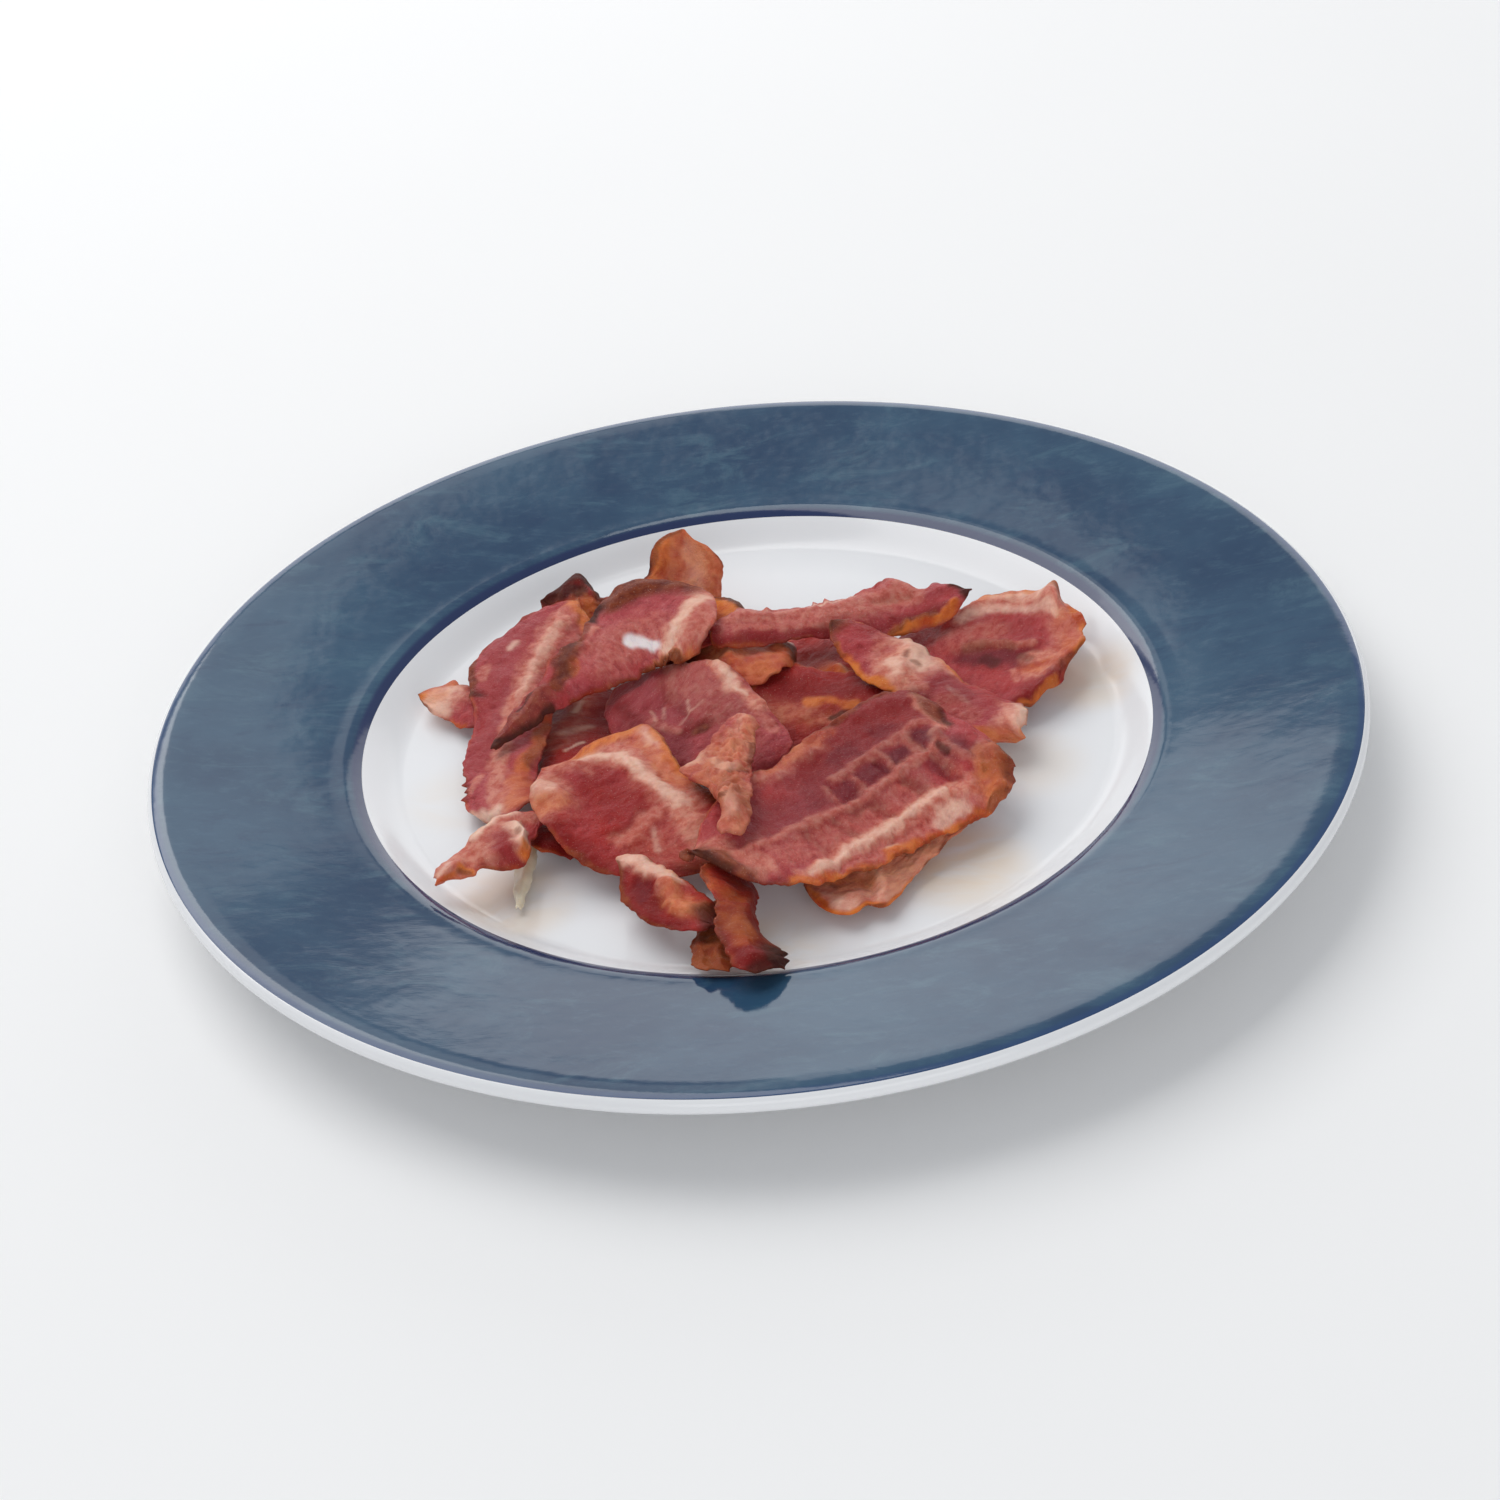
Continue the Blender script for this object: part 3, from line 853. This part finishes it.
def fry_rim(strip, layers, s, t, edge_distance, seed):
    """Add the broken amber line round the outline and the burnt spots on it."""
    broken = np.clip(0.5 + RIM_BREAKS[0] * noise(s, t, RIM_BREAKS[1], seed + 51), 0.0, 1.0)
    reach = RIM_REACH + RIM_SWELL[0] * noise(s, t, RIM_SWELL[1], seed + 52)
    fried = RIM_STRENGTH * strip["rim"] * broken * smooth_step(*RIM_FADE, edge_distance / reach)
    layers["amber"] = np.maximum(layers["amber"], fried)
    spots = smooth_step(*BURNT_LEVELS, noise(s, t, BURNT_SPOTS, seed + 53))
    burnt = BURNT_STRENGTH * strip["rim"] * spots * smooth_step(*BURNT_FADE, edge_distance / RIM_REACH)
    layers["brown"] = np.maximum(layers["brown"], burnt)


def top_relief(strip, layers, s, t, fibre_x, fibre_y, seed):
    """Height in mm of the fibres and lumps in the meat, blisters in fat, crust on char and crumbs."""
    fat = np.maximum(layers["fat"], layers["pale"])
    char = np.maximum(layers["char"], BROWN_CRUST * layers["brown"])
    relief = layered(fibre_x, fibre_y, FIBRES, seed + 71) * (1.0 - FAT_SMOOTHNESS * fat)
    relief += cloud(s, t, LUMPS, seed + 73)
    relief += fat * (FAT_RISE + cloud(s, t, FAT_BLISTERS, seed + 74, 2))
    relief += char * cloud(s, t, CHAR_CRUST, seed + 75, 2)
    crumbs = np.abs(cloud(s, t, CRUMBS, seed + 76)) + cloud(s, t, FINE_CRUMBS, seed + 77, 2)
    return relief + strip.get("crumb", 0.0) * crumbs


def strip_arrays(name, strip, seed):
    """Top and bottom points of a strip's fine sheet in mm, with its texture places and marks."""
    grid = coarse_grid(name, strip)
    rows = grid.shape[0]
    length = strip["length"]
    left, right = edge_reaches(strip, rows)
    u = mesh_places(length)
    v = mesh_places((left + right).max())
    mid = surface_at(grid, u, v)
    left_at = spline(np.arange(rows), left, u * (rows - 1))[:, None]
    right_at = spline(np.arange(rows), right, u * (rows - 1))[:, None]
    width = left_at + right_at
    s = np.repeat((u * length)[:, None], len(v), axis=1)
    t = left_at * (1.0 - v) - right_at * v
    edge_distance = np.minimum(np.minimum(v, 1.0 - v) * width, np.minimum(s, length - s))

    layers, raised = paint_marks(strip, grid, mid[..., 0], mid[..., 1], s, t, seed)
    fry_rim(strip, layers, s, t, edge_distance, seed)
    move_outline(strip, mid, u, v, left[0] + right[0], left[-1] + right[-1], seed)

    # large form: frilled edges and a slow wave, kept above the plate
    frill = strip["frill"] * np.exp(-edge_distance / EDGE_REACH)
    mid[..., 2] += frill * (cloud(s, t, FRILL_WAVE, seed + 61) + FRILL_RISE)
    mid[..., 2] += layered(s, t, SLOW_WAVE, seed + 62)
    floor = plate_top(np.hypot(mid[..., 0], mid[..., 1])) + HALF_THICKNESS + PLATE_CLEARANCE
    mid[..., 2] = np.maximum(mid[..., 2], floor)

    turn = math.radians(strip["grain"])
    fibre_x = s * math.cos(turn) + t * math.sin(turn)
    fibre_y = -s * math.sin(turn) + t * math.cos(turn)
    relief = top_relief(strip, layers, s, t, fibre_x, fibre_y, seed) + raised
    inside = np.clip(edge_distance / EDGE_RADIUS, 0.0, 1.0)
    taper = EDGE_THINNESS + (1.0 - EDGE_THINNESS) * smooth_step(0.0, EDGE_TAPER, edge_distance)
    round_edge = np.sqrt(1.0 - (1.0 - inside) ** 2) * taper
    above = round_edge * np.maximum(HALF_THICKNESS + relief, LEAST_THICKNESS)
    below = round_edge * (HALF_THICKNESS + cloud(s, t, UNDERSIDE, seed + 78, 2))
    normal = unit(np.cross(np.gradient(mid, axis=0), np.gradient(mid, axis=1)))
    normal *= np.sign(normal[..., 2:3].mean())
    place = np.stack((fibre_x, fibre_y), axis=-1) / TEXTURE_UNIT
    return mid + normal * above[..., None], mid - normal * below[..., None], place, layers


def sheet_faces(rows, columns):
    """Quads of a closed sheet whose top and bottom share their outline, as point numbers."""
    top = np.arange(rows * columns).reshape(rows, columns)
    bottom = top.copy()
    inner = (rows - 2) * (columns - 2)
    bottom[1:-1, 1:-1] = rows * columns + np.arange(inner).reshape(rows - 2, columns - 2)

    def quads(number):
        corners = (number[:-1, :-1], number[1:, :-1], number[1:, 1:], number[:-1, 1:])
        return np.stack(corners, axis=-1).reshape(-1, 4)

    return np.concatenate((quads(top)[:, ::-1], quads(bottom)))


def make_mesh(name, points, faces, place, light_marks, dark_marks):
    """A smooth mesh in metres with a texture map and two colour attributes for the marks."""
    mesh = bpy.data.meshes.new(name)
    mesh.from_pydata((points * MM).tolist(), [], faces.tolist())
    corners = faces.reshape(-1)
    texture = mesh.uv_layers.new(name="fibres")
    texture.data.foreach_set("uv", place[corners].astype(np.float32).ravel())
    for title, values in (("light_marks", light_marks), ("dark_marks", dark_marks)):
        marks = mesh.attributes.new(title, "FLOAT_COLOR", "POINT")
        marks.data.foreach_set("color", values.astype(np.float32).ravel())
    mesh.validate()
    mesh.shade_smooth()
    return mesh


def build_strip(name, strip, seed, materials):
    """The fine sheet that stands for one strip's solid."""
    top, bottom, place, layers = strip_arrays(name, strip, seed)
    rows, columns = top.shape[:2]
    light_marks = np.stack([layers[kind] for kind in LIGHT_MARKS], axis=-1)
    dark_marks = np.stack([layers[kind] for kind in DARK_MARKS], axis=-1)

    def joined(upper, lower):
        """Values of the top points followed by those of the bottom points inside the outline."""
        size = upper.shape[-1]
        return np.concatenate((upper.reshape(-1, size), lower[1:-1, 1:-1].reshape(-1, size)))

    points = joined(top, bottom)
    mesh = make_mesh(name, points, sheet_faces(rows, columns), joined(place, place),
                     joined(light_marks, light_marks), joined(dark_marks, dark_marks))
    tone = mesh.attributes.new("tone", "FLOAT", "POINT")
    tone.data.foreach_set("value", np.full(len(points), strip["tone"], np.float32))
    piece = bpy.data.objects.new(name + "_sheet", mesh)
    bpy.context.scene.collection.objects.link(piece)
    slot = "bacon_fat" if name == "fat_sliver" else "bacon"
    mesh.materials.append(materials[slot])
    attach(piece, "root")
    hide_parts(name)
    return piece


# ---- shader nodes

class Shader:
    """Short calls that add nodes to a new material and join them."""

    def __init__(self, name):
        self.material = bpy.data.materials.new(name)
        self.material.use_nodes = True
        self.tree = self.material.node_tree
        self.surface = self.tree.nodes["Principled BSDF"]

    def node(self, kind, **settings):
        made = self.tree.nodes.new(kind)
        for key, value in settings.items():
            setattr(made, key, value)
        return made

    def feed(self, socket, value):
        """Link a socket to another, or set it to a number, a colour or a vector."""
        if isinstance(value, bpy.types.NodeSocket):
            self.tree.links.new(value, socket)
        elif isinstance(value, tuple) and socket.type == "RGBA":
            socket.default_value = (*value, 1.0)
        else:
            socket.default_value = value

    def maths(self, operation, a, b=0.0, clamp=False):
        made = self.node("ShaderNodeMath", operation=operation, use_clamp=clamp)
        self.feed(made.inputs[0], a)
        self.feed(made.inputs[1], b)
        return made.outputs[0]

    def times(self, a, b):
        return self.maths("MULTIPLY", a, b)

    def plus(self, a, b, clamp=False):
        return self.maths("ADD", a, b, clamp)

    def minus(self, a, b):
        return self.maths("SUBTRACT", a, b)

    def mix(self, share, a, b):
        made = self.node("ShaderNodeMix", data_type="RGBA")
        colour_sockets = [socket for socket in made.inputs if socket.type == "RGBA"]
        self.feed(made.inputs["Factor"], share)
        self.feed(colour_sockets[0], a)
        self.feed(colour_sockets[1], b)
        return next(socket for socket in made.outputs if socket.type == "RGBA")

    def wash(self, colour, share, strength, tint):
        """Lay a tint over a colour where a share says, up to a strength."""
        return self.mix(self.times(share, strength), colour, tint)

    def ramp(self, value, low, high):
        """0 below low and 1 above high."""
        made = self.node("ShaderNodeMapRange", interpolation_type="SMOOTHSTEP")
        self.feed(made.inputs["Value"], value)
        made.inputs["From Min"].default_value = low
        made.inputs["From Max"].default_value = high
        return made.outputs["Result"]

    def stretch(self, vector, scale):
        made = self.node("ShaderNodeMapping")
        self.feed(made.inputs["Vector"], vector)
        made.inputs["Scale"].default_value = scale
        return made.outputs["Vector"]

    def noise(self, vector, scale, detail=3.0, roughness=0.55, distortion=0.0):
        made = self.node("ShaderNodeTexNoise")
        self.feed(made.inputs["Vector"], vector)
        made.inputs["Scale"].default_value = scale
        made.inputs["Detail"].default_value = detail
        made.inputs["Roughness"].default_value = roughness
        made.inputs["Distortion"].default_value = distortion
        return made.outputs["Fac"]

    def attribute(self, name):
        return self.node("ShaderNodeAttribute", attribute_name=name)

    def channels(self, name):
        """The four numbers of a colour attribute."""
        colour = self.attribute(name)
        parts = self.node("ShaderNodeSeparateColor")
        self.feed(parts.inputs["Color"], colour.outputs["Color"])
        return (*parts.outputs, colour.outputs["Alpha"])

    def bump(self, height, distance, strength):
        made = self.node("ShaderNodeBump")
        made.inputs["Strength"].default_value = strength
        made.inputs["Distance"].default_value = distance
        self.feed(made.inputs["Height"], height)
        return made.outputs["Normal"]

    def finish(self, **sockets):
        """Link or set the surface's sockets, whose names have _ for each space."""
        for name, value in sockets.items():
            self.feed(self.surface.inputs[name.replace("_", " ")], value)
        return self.material


# ---- materials

MAUVE_PINK = (0.42, 0.066, 0.076)
RED = (0.39, 0.026, 0.021)
PALE_MEAT = (0.61, 0.200, 0.190)
DARK_MEAT = (0.18, 0.007, 0.007)
MAUVE_DARK = (0.15, 0.018, 0.026)
FAT = (0.68, 0.285, 0.205)
FAT_DEEP = (0.60, 0.165, 0.110)
PALE_FAT = (0.86, 0.570, 0.440)
AMBER = (0.68, 0.190, 0.036)
AMBER_DARK = (0.46, 0.062, 0.012)
BROWN = (0.22, 0.048, 0.018)
BROWN_DARK = (0.11, 0.020, 0.008)
CHAR_BROWN = (0.065, 0.015, 0.008)
CHAR_BLACK = (0.022, 0.008, 0.006)
WHITE_SHINE = (0.86, 0.80, 0.80)
SLIVER_CLOUDY = (0.62, 0.50, 0.36)
SLIVER_WHITE = (0.80, 0.74, 0.60)
MEAT_VARIATION = 1.8        # how far the blotches move the meat from pink to red
MARK_BREAKUP = 0.6          # how far the mottling breaks up a mark
MARK_PRESENT = 0.25         # strength from which a mark is broken up in full
GLINT_STRENGTH = 0.6


def bacon_material():
    """Fried meat with fat, amber rims, char and dark meat where a strip's marks say."""
    sh = Shader("bacon")
    place = sh.node("ShaderNodeUVMap", uv_map="fibres").outputs["UV"]
    fat, pale, amber, brown = sh.channels("light_marks")
    char, deep, mauve, white = sh.channels("dark_marks")
    tone = sh.attribute("tone").outputs["Fac"]

    blotch = sh.noise(place, scale=1.1, detail=4.0, roughness=0.6)
    mottle = sh.noise(place, scale=4.5, detail=5.0, roughness=0.62)
    fibre = sh.noise(sh.stretch(place, (1.0, 2.0, 1.0)), scale=3.0)
    grain = sh.noise(place, scale=20.0, roughness=0.65)
    glint = sh.noise(place, scale=42.0, detail=2.0, roughness=0.5)
    wet = sh.noise(place, scale=2.4, roughness=0.5)

    lean = sh.plus(tone, sh.times(sh.minus(blotch, 0.5), MEAT_VARIATION), clamp=True)
    paleness = sh.minus(0.30, sh.times(lean, 0.20))
    colour = sh.mix(lean, MAUVE_PINK, RED)
    colour = sh.wash(colour, sh.ramp(mottle, 0.50, 0.34), 0.34, DARK_MEAT)
    colour = sh.wash(colour, sh.ramp(mottle, 0.54, 0.74), paleness, PALE_MEAT)
    colour = sh.wash(colour, sh.ramp(fibre, 0.54, 0.72), paleness, PALE_MEAT)
    colour = sh.wash(colour, sh.ramp(fibre, 0.44, 0.30), 0.35, DARK_MEAT)
    colour = sh.wash(colour, sh.ramp(grain, 0.56, 0.70), paleness, PALE_MEAT)
    colour = sh.wash(colour, sh.ramp(grain, 0.44, 0.30), 0.34, DARK_MEAT)

    def ragged(strength):
        """A mark's strength, broken up by the mottling."""
        wander = sh.times(sh.minus(mottle, 0.5), MARK_BREAKUP)
        return sh.plus(strength, sh.times(wander, sh.ramp(strength, 0.0, MARK_PRESENT)), clamp=True)

    colour = sh.mix(ragged(deep), colour, DARK_MEAT)
    colour = sh.mix(ragged(mauve), colour, MAUVE_DARK)
    colour = sh.mix(ragged(fat), colour, sh.mix(sh.ramp(mottle, 0.36, 0.62), FAT_DEEP, FAT))
    colour = sh.mix(ragged(pale), colour, PALE_FAT)
    colour = sh.mix(ragged(amber), colour, sh.mix(sh.ramp(blotch, 0.34, 0.60), AMBER_DARK, AMBER))
    colour = sh.mix(ragged(brown), colour, sh.mix(sh.ramp(mottle, 0.36, 0.60), BROWN_DARK, BROWN))
    colour = sh.wash(colour, sh.ramp(glint, 0.66, 0.74), GLINT_STRENGTH, PALE_FAT)
    colour = sh.mix(ragged(char), colour, sh.mix(sh.ramp(mottle, 0.42, 0.62), CHAR_BLACK, CHAR_BROWN))
    colour = sh.mix(white, colour, WHITE_SHINE)

    roughness = sh.plus(0.26, sh.times(wet, 0.26))
    roughness = sh.plus(roughness, sh.times(char, 0.20), clamp=True)
    fine = sh.plus(sh.plus(sh.times(mottle, 0.9), sh.times(fibre, 0.7)), sh.times(grain, 0.35))
    normal = sh.bump(fine, distance=0.0008, strength=0.8)
    return sh.finish(Base_Color=colour, Roughness=roughness, Normal=normal, Specular_IOR_Level=0.07,
                     Subsurface_Weight=0.25, Subsurface_Radius=(1.0, 0.22, 0.10),
                     Subsurface_Scale=0.0024, Coat_Weight=0.10, Coat_Roughness=0.10, Coat_IOR=1.4,
                     Coat_Normal=normal)


def sliver_material():
    """Pale, cloudy, half-clear fat."""
    sh = Shader("bacon_fat")
    place = sh.node("ShaderNodeUVMap", uv_map="fibres").outputs["UV"]
    cloudy = sh.noise(place, scale=3.0, detail=4.0, roughness=0.6)
    colour = sh.mix(cloudy, SLIVER_CLOUDY, SLIVER_WHITE)
    normal = sh.bump(sh.noise(place, scale=8.0), distance=0.0004, strength=0.6)
    return sh.finish(Base_Color=colour, Roughness=0.28, Normal=normal, Subsurface_Weight=0.5,
                     Subsurface_Radius=(1.0, 0.8, 0.5), Subsurface_Scale=0.003, Coat_Weight=0.3,
                     Coat_Roughness=0.15)


def radius_of(sh, place):
    """Distance of a point of the plate from its axis, in metres."""
    parts = sh.node("ShaderNodeSeparateXYZ")
    sh.feed(parts.inputs["Vector"], place)
    x, y = parts.outputs["X"], parts.outputs["Y"]
    squares = sh.plus(sh.times(x, x), sh.times(y, y))
    return sh.maths("SQRT", squares)


# x, y and reach in mm and strength of each faint film of grease on the white glaze
GREASE = ((-62.0, -58.0, 20.0, 0.60), (44.0, -62.0, 22.0, 0.75), (86.0, 10.0, 18.0, 0.60),
          (-2.0, -84.0, 18.0, 0.50), (-74.0, -14.0, 20.0, 0.20), (66.0, -24.0, 18.0, 0.30))
GREASE_CORE = 0.3           # share of a film's reach within which it is full
GREASE_TINT = (0.80, 0.64, 0.47)
WHITE_DULL = (0.78, 0.79, 0.81)
WHITE_BRIGHT = (0.83, 0.84, 0.86)
BLUE_DEEP = (0.013, 0.046, 0.106)
BLUE_MIDDLE = (0.034, 0.088, 0.155)
BLUE_LIGHT = (0.065, 0.140, 0.20)
BLUE_SHADE = (0.014, 0.042, 0.105)
BLUE_SPECKS = (0.08, 0.155, 0.23)
NAVY = (0.010, 0.022, 0.095)
BLUE_CREST = (0.020, 0.055, 0.16)
NAVY_LINE = (3.0, 1.6)      # distances from the blue's inner edge between which it fades in, mm
CREST_LINE = (2.2, 0.8)     # likewise from its outer edge


def white_glaze():
    """White glaze with a faint unevenness and films of bacon grease."""
    sh = Shader("white_glaze")
    place = sh.node("ShaderNodeTexCoord").outputs["Object"]
    colour = sh.mix(sh.noise(place, scale=14.0), WHITE_DULL, WHITE_BRIGHT)
    smear = sh.noise(sh.stretch(place, (1.0, 1.6, 1.0)), scale=38.0, detail=4.0, roughness=0.6,
                     distortion=0.5)
    for x, y, reach, strength in GREASE:
        away = sh.node("ShaderNodeVectorMath", operation="DISTANCE")
        sh.feed(away.inputs[0], place)
        sh.feed(away.inputs[1], (x * MM, y * MM, FLOOR_HEIGHT * MM))
        film = sh.ramp(away.outputs["Value"], reach * MM, GREASE_CORE * reach * MM)
        colour = sh.wash(colour, sh.times(film, sh.ramp(smear, 0.25, 0.60)), strength, GREASE_TINT)
    normal = sh.bump(sh.noise(place, scale=60.0, detail=2.0), distance=0.0002, strength=0.25)
    return sh.finish(Base_Color=colour, Roughness=0.2, Normal=normal, Coat_Weight=0.1,
                     Coat_Roughness=0.08)


def blue_glaze():
    """Blue glaze dabbed on in overlapping streaky patches, with a navy line along its inner edge."""
    sh = Shader("blue_glaze")
    place = sh.node("ShaderNodeTexCoord").outputs["Object"]
    streaky = sh.stretch(place, (1.0, 2.2, 1.0))
    clouds = sh.noise(place, scale=16.0, detail=5.0, roughness=0.6)
    dabs = sh.noise(streaky, scale=42.0, detail=6.0, roughness=0.7, distortion=0.6)
    fine = sh.noise(streaky, scale=170.0, detail=4.0, roughness=0.7)
    colour = sh.mix(sh.ramp(clouds, 0.34, 0.66), BLUE_DEEP, BLUE_MIDDLE)
    colour = sh.wash(colour, sh.ramp(dabs, 0.50, 0.70), 0.55, BLUE_LIGHT)
    colour = sh.wash(colour, sh.ramp(dabs, 0.46, 0.30), 0.5, BLUE_SHADE)
    colour = sh.wash(colour, sh.ramp(fine, 0.5, 0.75), 0.22, BLUE_SPECKS)
    radius = radius_of(sh, place)
    navy_line = sh.ramp(radius, *((BLUE_INNER + away) * MM for away in NAVY_LINE))
    colour = sh.wash(colour, navy_line, 0.9, NAVY)
    crest_line = sh.ramp(radius, *((BLUE_OUTER - away) * MM for away in CREST_LINE))
    colour = sh.wash(colour, crest_line, 0.7, BLUE_CREST)
    waves = sh.plus(sh.noise(place, scale=90.0, detail=2.0), sh.times(dabs, 0.4))
    return sh.finish(Base_Color=colour, Roughness=sh.plus(0.06, sh.times(fine, 0.07)),
                     Normal=sh.bump(waves, distance=0.0003, strength=0.35), Coat_Weight=0.1,
                     Coat_Roughness=0.05)


def floor_material():
    """Pale studio paper."""
    sh = Shader("studio_paper")
    place = sh.node("ShaderNodeTexCoord").outputs["Object"]
    colour = sh.mix(sh.noise(place, scale=3.0, detail=2.0), PAPER_DULL, PAPER_BRIGHT)
    return sh.finish(Base_Color=colour, Roughness=0.9)


# ---- plate

def arc(centre, radius, first, last, count):
    """Points on an arc, from one angle to another in degrees."""
    angles = np.radians(np.linspace(first, last, count))
    return [(centre[0] + radius * math.cos(a), centre[1] + radius * math.sin(a)) for a in angles]


def plate_profile():
    """Half section of the plate in mm, and the number of points on its white well and blue rim."""

    def surface_points(first, last, count, drop=0.0):
        """Points on the upper surface, or this far under it, from one radius to another."""
        return [(r, float(plate_top(r)) - drop) for r in np.linspace(first, last, count)]

    well = (surface_points(0.0, FLOOR_RADIUS, FLOOR_POINTS)
            + surface_points(FLOOR_RADIUS, BLUE_INNER, WALL_POINTS)[1:])
    rim = (surface_points(BLUE_INNER, SHOULDER_RADIUS, SHOULDER_POINTS)[1:]
           + surface_points(SHOULDER_RADIUS, RIM_CREST_RADIUS, RIM_POINTS)[1:])
    edge_radius = WALL_THICKNESS / 2.0
    edge_centre = (PLATE_RADIUS - edge_radius, RIM_CREST_HEIGHT - edge_radius)
    edge = arc(edge_centre, edge_radius, EDGE_ARC, -EDGE_ARC, EDGE_POINTS)
    blue_edge = [p for p in edge if p[1] > edge_centre[1] and p[0] < BLUE_OUTER]
    white_edge = edge[len(blue_edge):]
    under = surface_points(RIM_CREST_RADIUS, FLOOR_RADIUS, UNDER_POINTS, WALL_THICKNESS)
    outer = FOOT_RADIUS + FOOT_WIDTH / 2.0
    inner = FOOT_RADIUS - FOOT_WIDTH / 2.0
    base = FLOOR_HEIGHT - WALL_THICKNESS
    foot = [(outer + FOOT_WIDTH, base), (outer + 0.8, 0.8), (outer - 0.2, 0.1), (outer - 0.8, 0.0),
            (inner + 0.8, 0.0), (inner + 0.2, 0.1), (inner - 0.4, 0.6), (inner - 1.5, BASE_RECESS),
            (0.0, BASE_RECESS)]
    blue = rim + blue_edge
    return well + blue + white_edge + under + foot, len(well), len(blue)


def build_plate():
    """The plate turned about Z, white with a blue rim."""
    points, well, blue = plate_profile()
    rings = [ring for ring in points if ring[0] > 0.0]
    coords = [(0.0, 0.0, points[0][1] * MM)]
    for radius, height in rings:
        for angle in np.linspace(0.0, 2.0 * math.pi, PLATE_SEGMENTS, endpoint=False):
            coords.append((radius * math.cos(angle) * MM, radius * math.sin(angle) * MM, height * MM))
    coords.append((0.0, 0.0, points[-1][1] * MM))
    top_centre = 0
    base_centre = len(coords) - 1
    white, blue_slot = 0, 1
    around = [(k, (k + 1) % PLATE_SEGMENTS) for k in range(PLATE_SEGMENTS)]
    faces = [(top_centre, 1 + a, 1 + b) for a, b in around]
    slots = [white] * PLATE_SEGMENTS
    blue_from = well - 2    # the well's last ring: the centre point is none, and rings count from 0
    for ring in range(len(rings) - 1):
        first = 1 + ring * PLATE_SEGMENTS
        second = first + PLATE_SEGMENTS
        faces += [(first + a, second + a, second + b, first + b) for a, b in around]
        slots += [blue_slot if blue_from <= ring < blue_from + blue else white] * PLATE_SEGMENTS
    last = base_centre - PLATE_SEGMENTS
    faces += [(last + a, base_centre, last + b) for a, b in around]
    slots += [white] * PLATE_SEGMENTS
    mesh = bpy.data.meshes.new("plate_glazed")
    mesh.from_pydata(coords, [], faces)
    mesh.materials.append(white_glaze())
    mesh.materials.append(blue_glaze())
    mesh.polygons.foreach_set("material_index", slots)
    mesh.shade_smooth()
    mesh.set_sharp_from_angle(angle=math.radians(SHARP_ANGLE))
    plate = bpy.data.objects.new("plate_glazed", mesh)
    bpy.context.scene.collection.objects.link(plate)
    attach(plate, "root")
    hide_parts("plate")
    return plate


# ---- studio

def build_floor():
    """A wide pale floor under the foot ring."""
    mesh = bpy.data.meshes.new("floor")
    half = FLOOR_WIDTH / 2.0
    corners = [(-half, -half, 0.0), (half, -half, 0.0), (half, half, 0.0), (-half, half, 0.0)]
    mesh.from_pydata(corners, [], [(0, 1, 2, 3)])
    mesh.materials.append(floor_material())
    floor = bpy.data.objects.new("floor", mesh)
    bpy.context.scene.collection.objects.link(floor)


def area_light(name, location, size, power, target=(0.0, 0.0, 0.0), colour=(1.0, 1.0, 1.0)):
    """A soft rectangular lamp that looks at a point and doesn't show itself."""
    light = bpy.data.lights.new(name, "AREA")
    light.shape = "RECTANGLE"
    light.size, light.size_y = size
    light.energy = power
    light.color = colour
    lamp = bpy.data.objects.new(name, light)
    lamp.location = location
    lamp.rotation_euler = (Vector(target) - Vector(location)).to_track_quat("-Z", "Y").to_euler()
    lamp.visible_camera = False
    bpy.context.scene.collection.objects.link(lamp)
    return lamp


def build_lights():
    """A large soft lamp high at the back left, window panels behind, a weak fill in front and a dim sky."""
    area_light("key", (-0.9, 1.0, 1.9), (2.0, 2.0), 31.0, colour=(1.0, 0.99, 0.98))
    area_light("window", (0.2, 2.3, 0.62), (3.6, 1.08), 16.0, (0.2, 0.0, 0.62))
    area_light("window_right", (0.95, 2.3, 1.32), (1.9, 0.32), 2.3, (0.95, 0.0, 1.32))
    area_light("window_left", (-0.92, 2.3, 1.92), (1.8, 1.1), 4.5, (-0.92, 0.0, 1.92))
    area_light("fill", (0.3, -2.2, 0.9), (2.4, 1.2), 16.0)
    world = bpy.data.worlds.new("studio")
    world.use_nodes = True
    sky = world.node_tree.nodes["Background"]
    sky.inputs["Color"].default_value = SKY_COLOUR
    sky.inputs["Strength"].default_value = SKY_STRENGTH
    bpy.context.scene.world = world


def build_camera():
    """The camera, looking down at the plate from the front with a slight roll."""
    rise = math.radians(VIEW_ELEVATION)
    back = Vector((0.0, -math.cos(rise), math.sin(rise)))
    location = Vector((0.0, 0.0, VIEW_AIM[2])) + back * VIEW_DISTANCE
    forward = (Vector(VIEW_AIM) - location).normalized()
    right = forward.cross(Vector((0.0, 0.0, 1.0))).normalized()
    up = right.cross(forward)
    roll = math.radians(VIEW_ROLL)
    right_rolled = right * math.cos(roll) + up * math.sin(roll)
    up_rolled = up * math.cos(roll) - right * math.sin(roll)
    camera = bpy.data.objects.new("camera", bpy.data.cameras.new("camera"))
    camera.data.lens = VIEW_LENS
    camera.data.clip_start = 0.01
    axes = Matrix((right_rolled, up_rolled, -forward)).transposed().to_4x4()
    camera.matrix_world = Matrix.Translation(location) @ axes
    bpy.context.scene.collection.objects.link(camera)
    bpy.context.scene.camera = camera


def main():
    build_camera()
    build_lights()
    build_floor()
    build_plate()
    materials = {"bacon": bacon_material(), "bacon_fat": sliver_material()}
    for number, (name, strip) in enumerate(STRIPS.items()):
        build_strip(name, strip, FIRST_SEED + SEED_STEP * number, materials)
    bpy.context.scene.view_settings.view_transform = "Standard"


main()
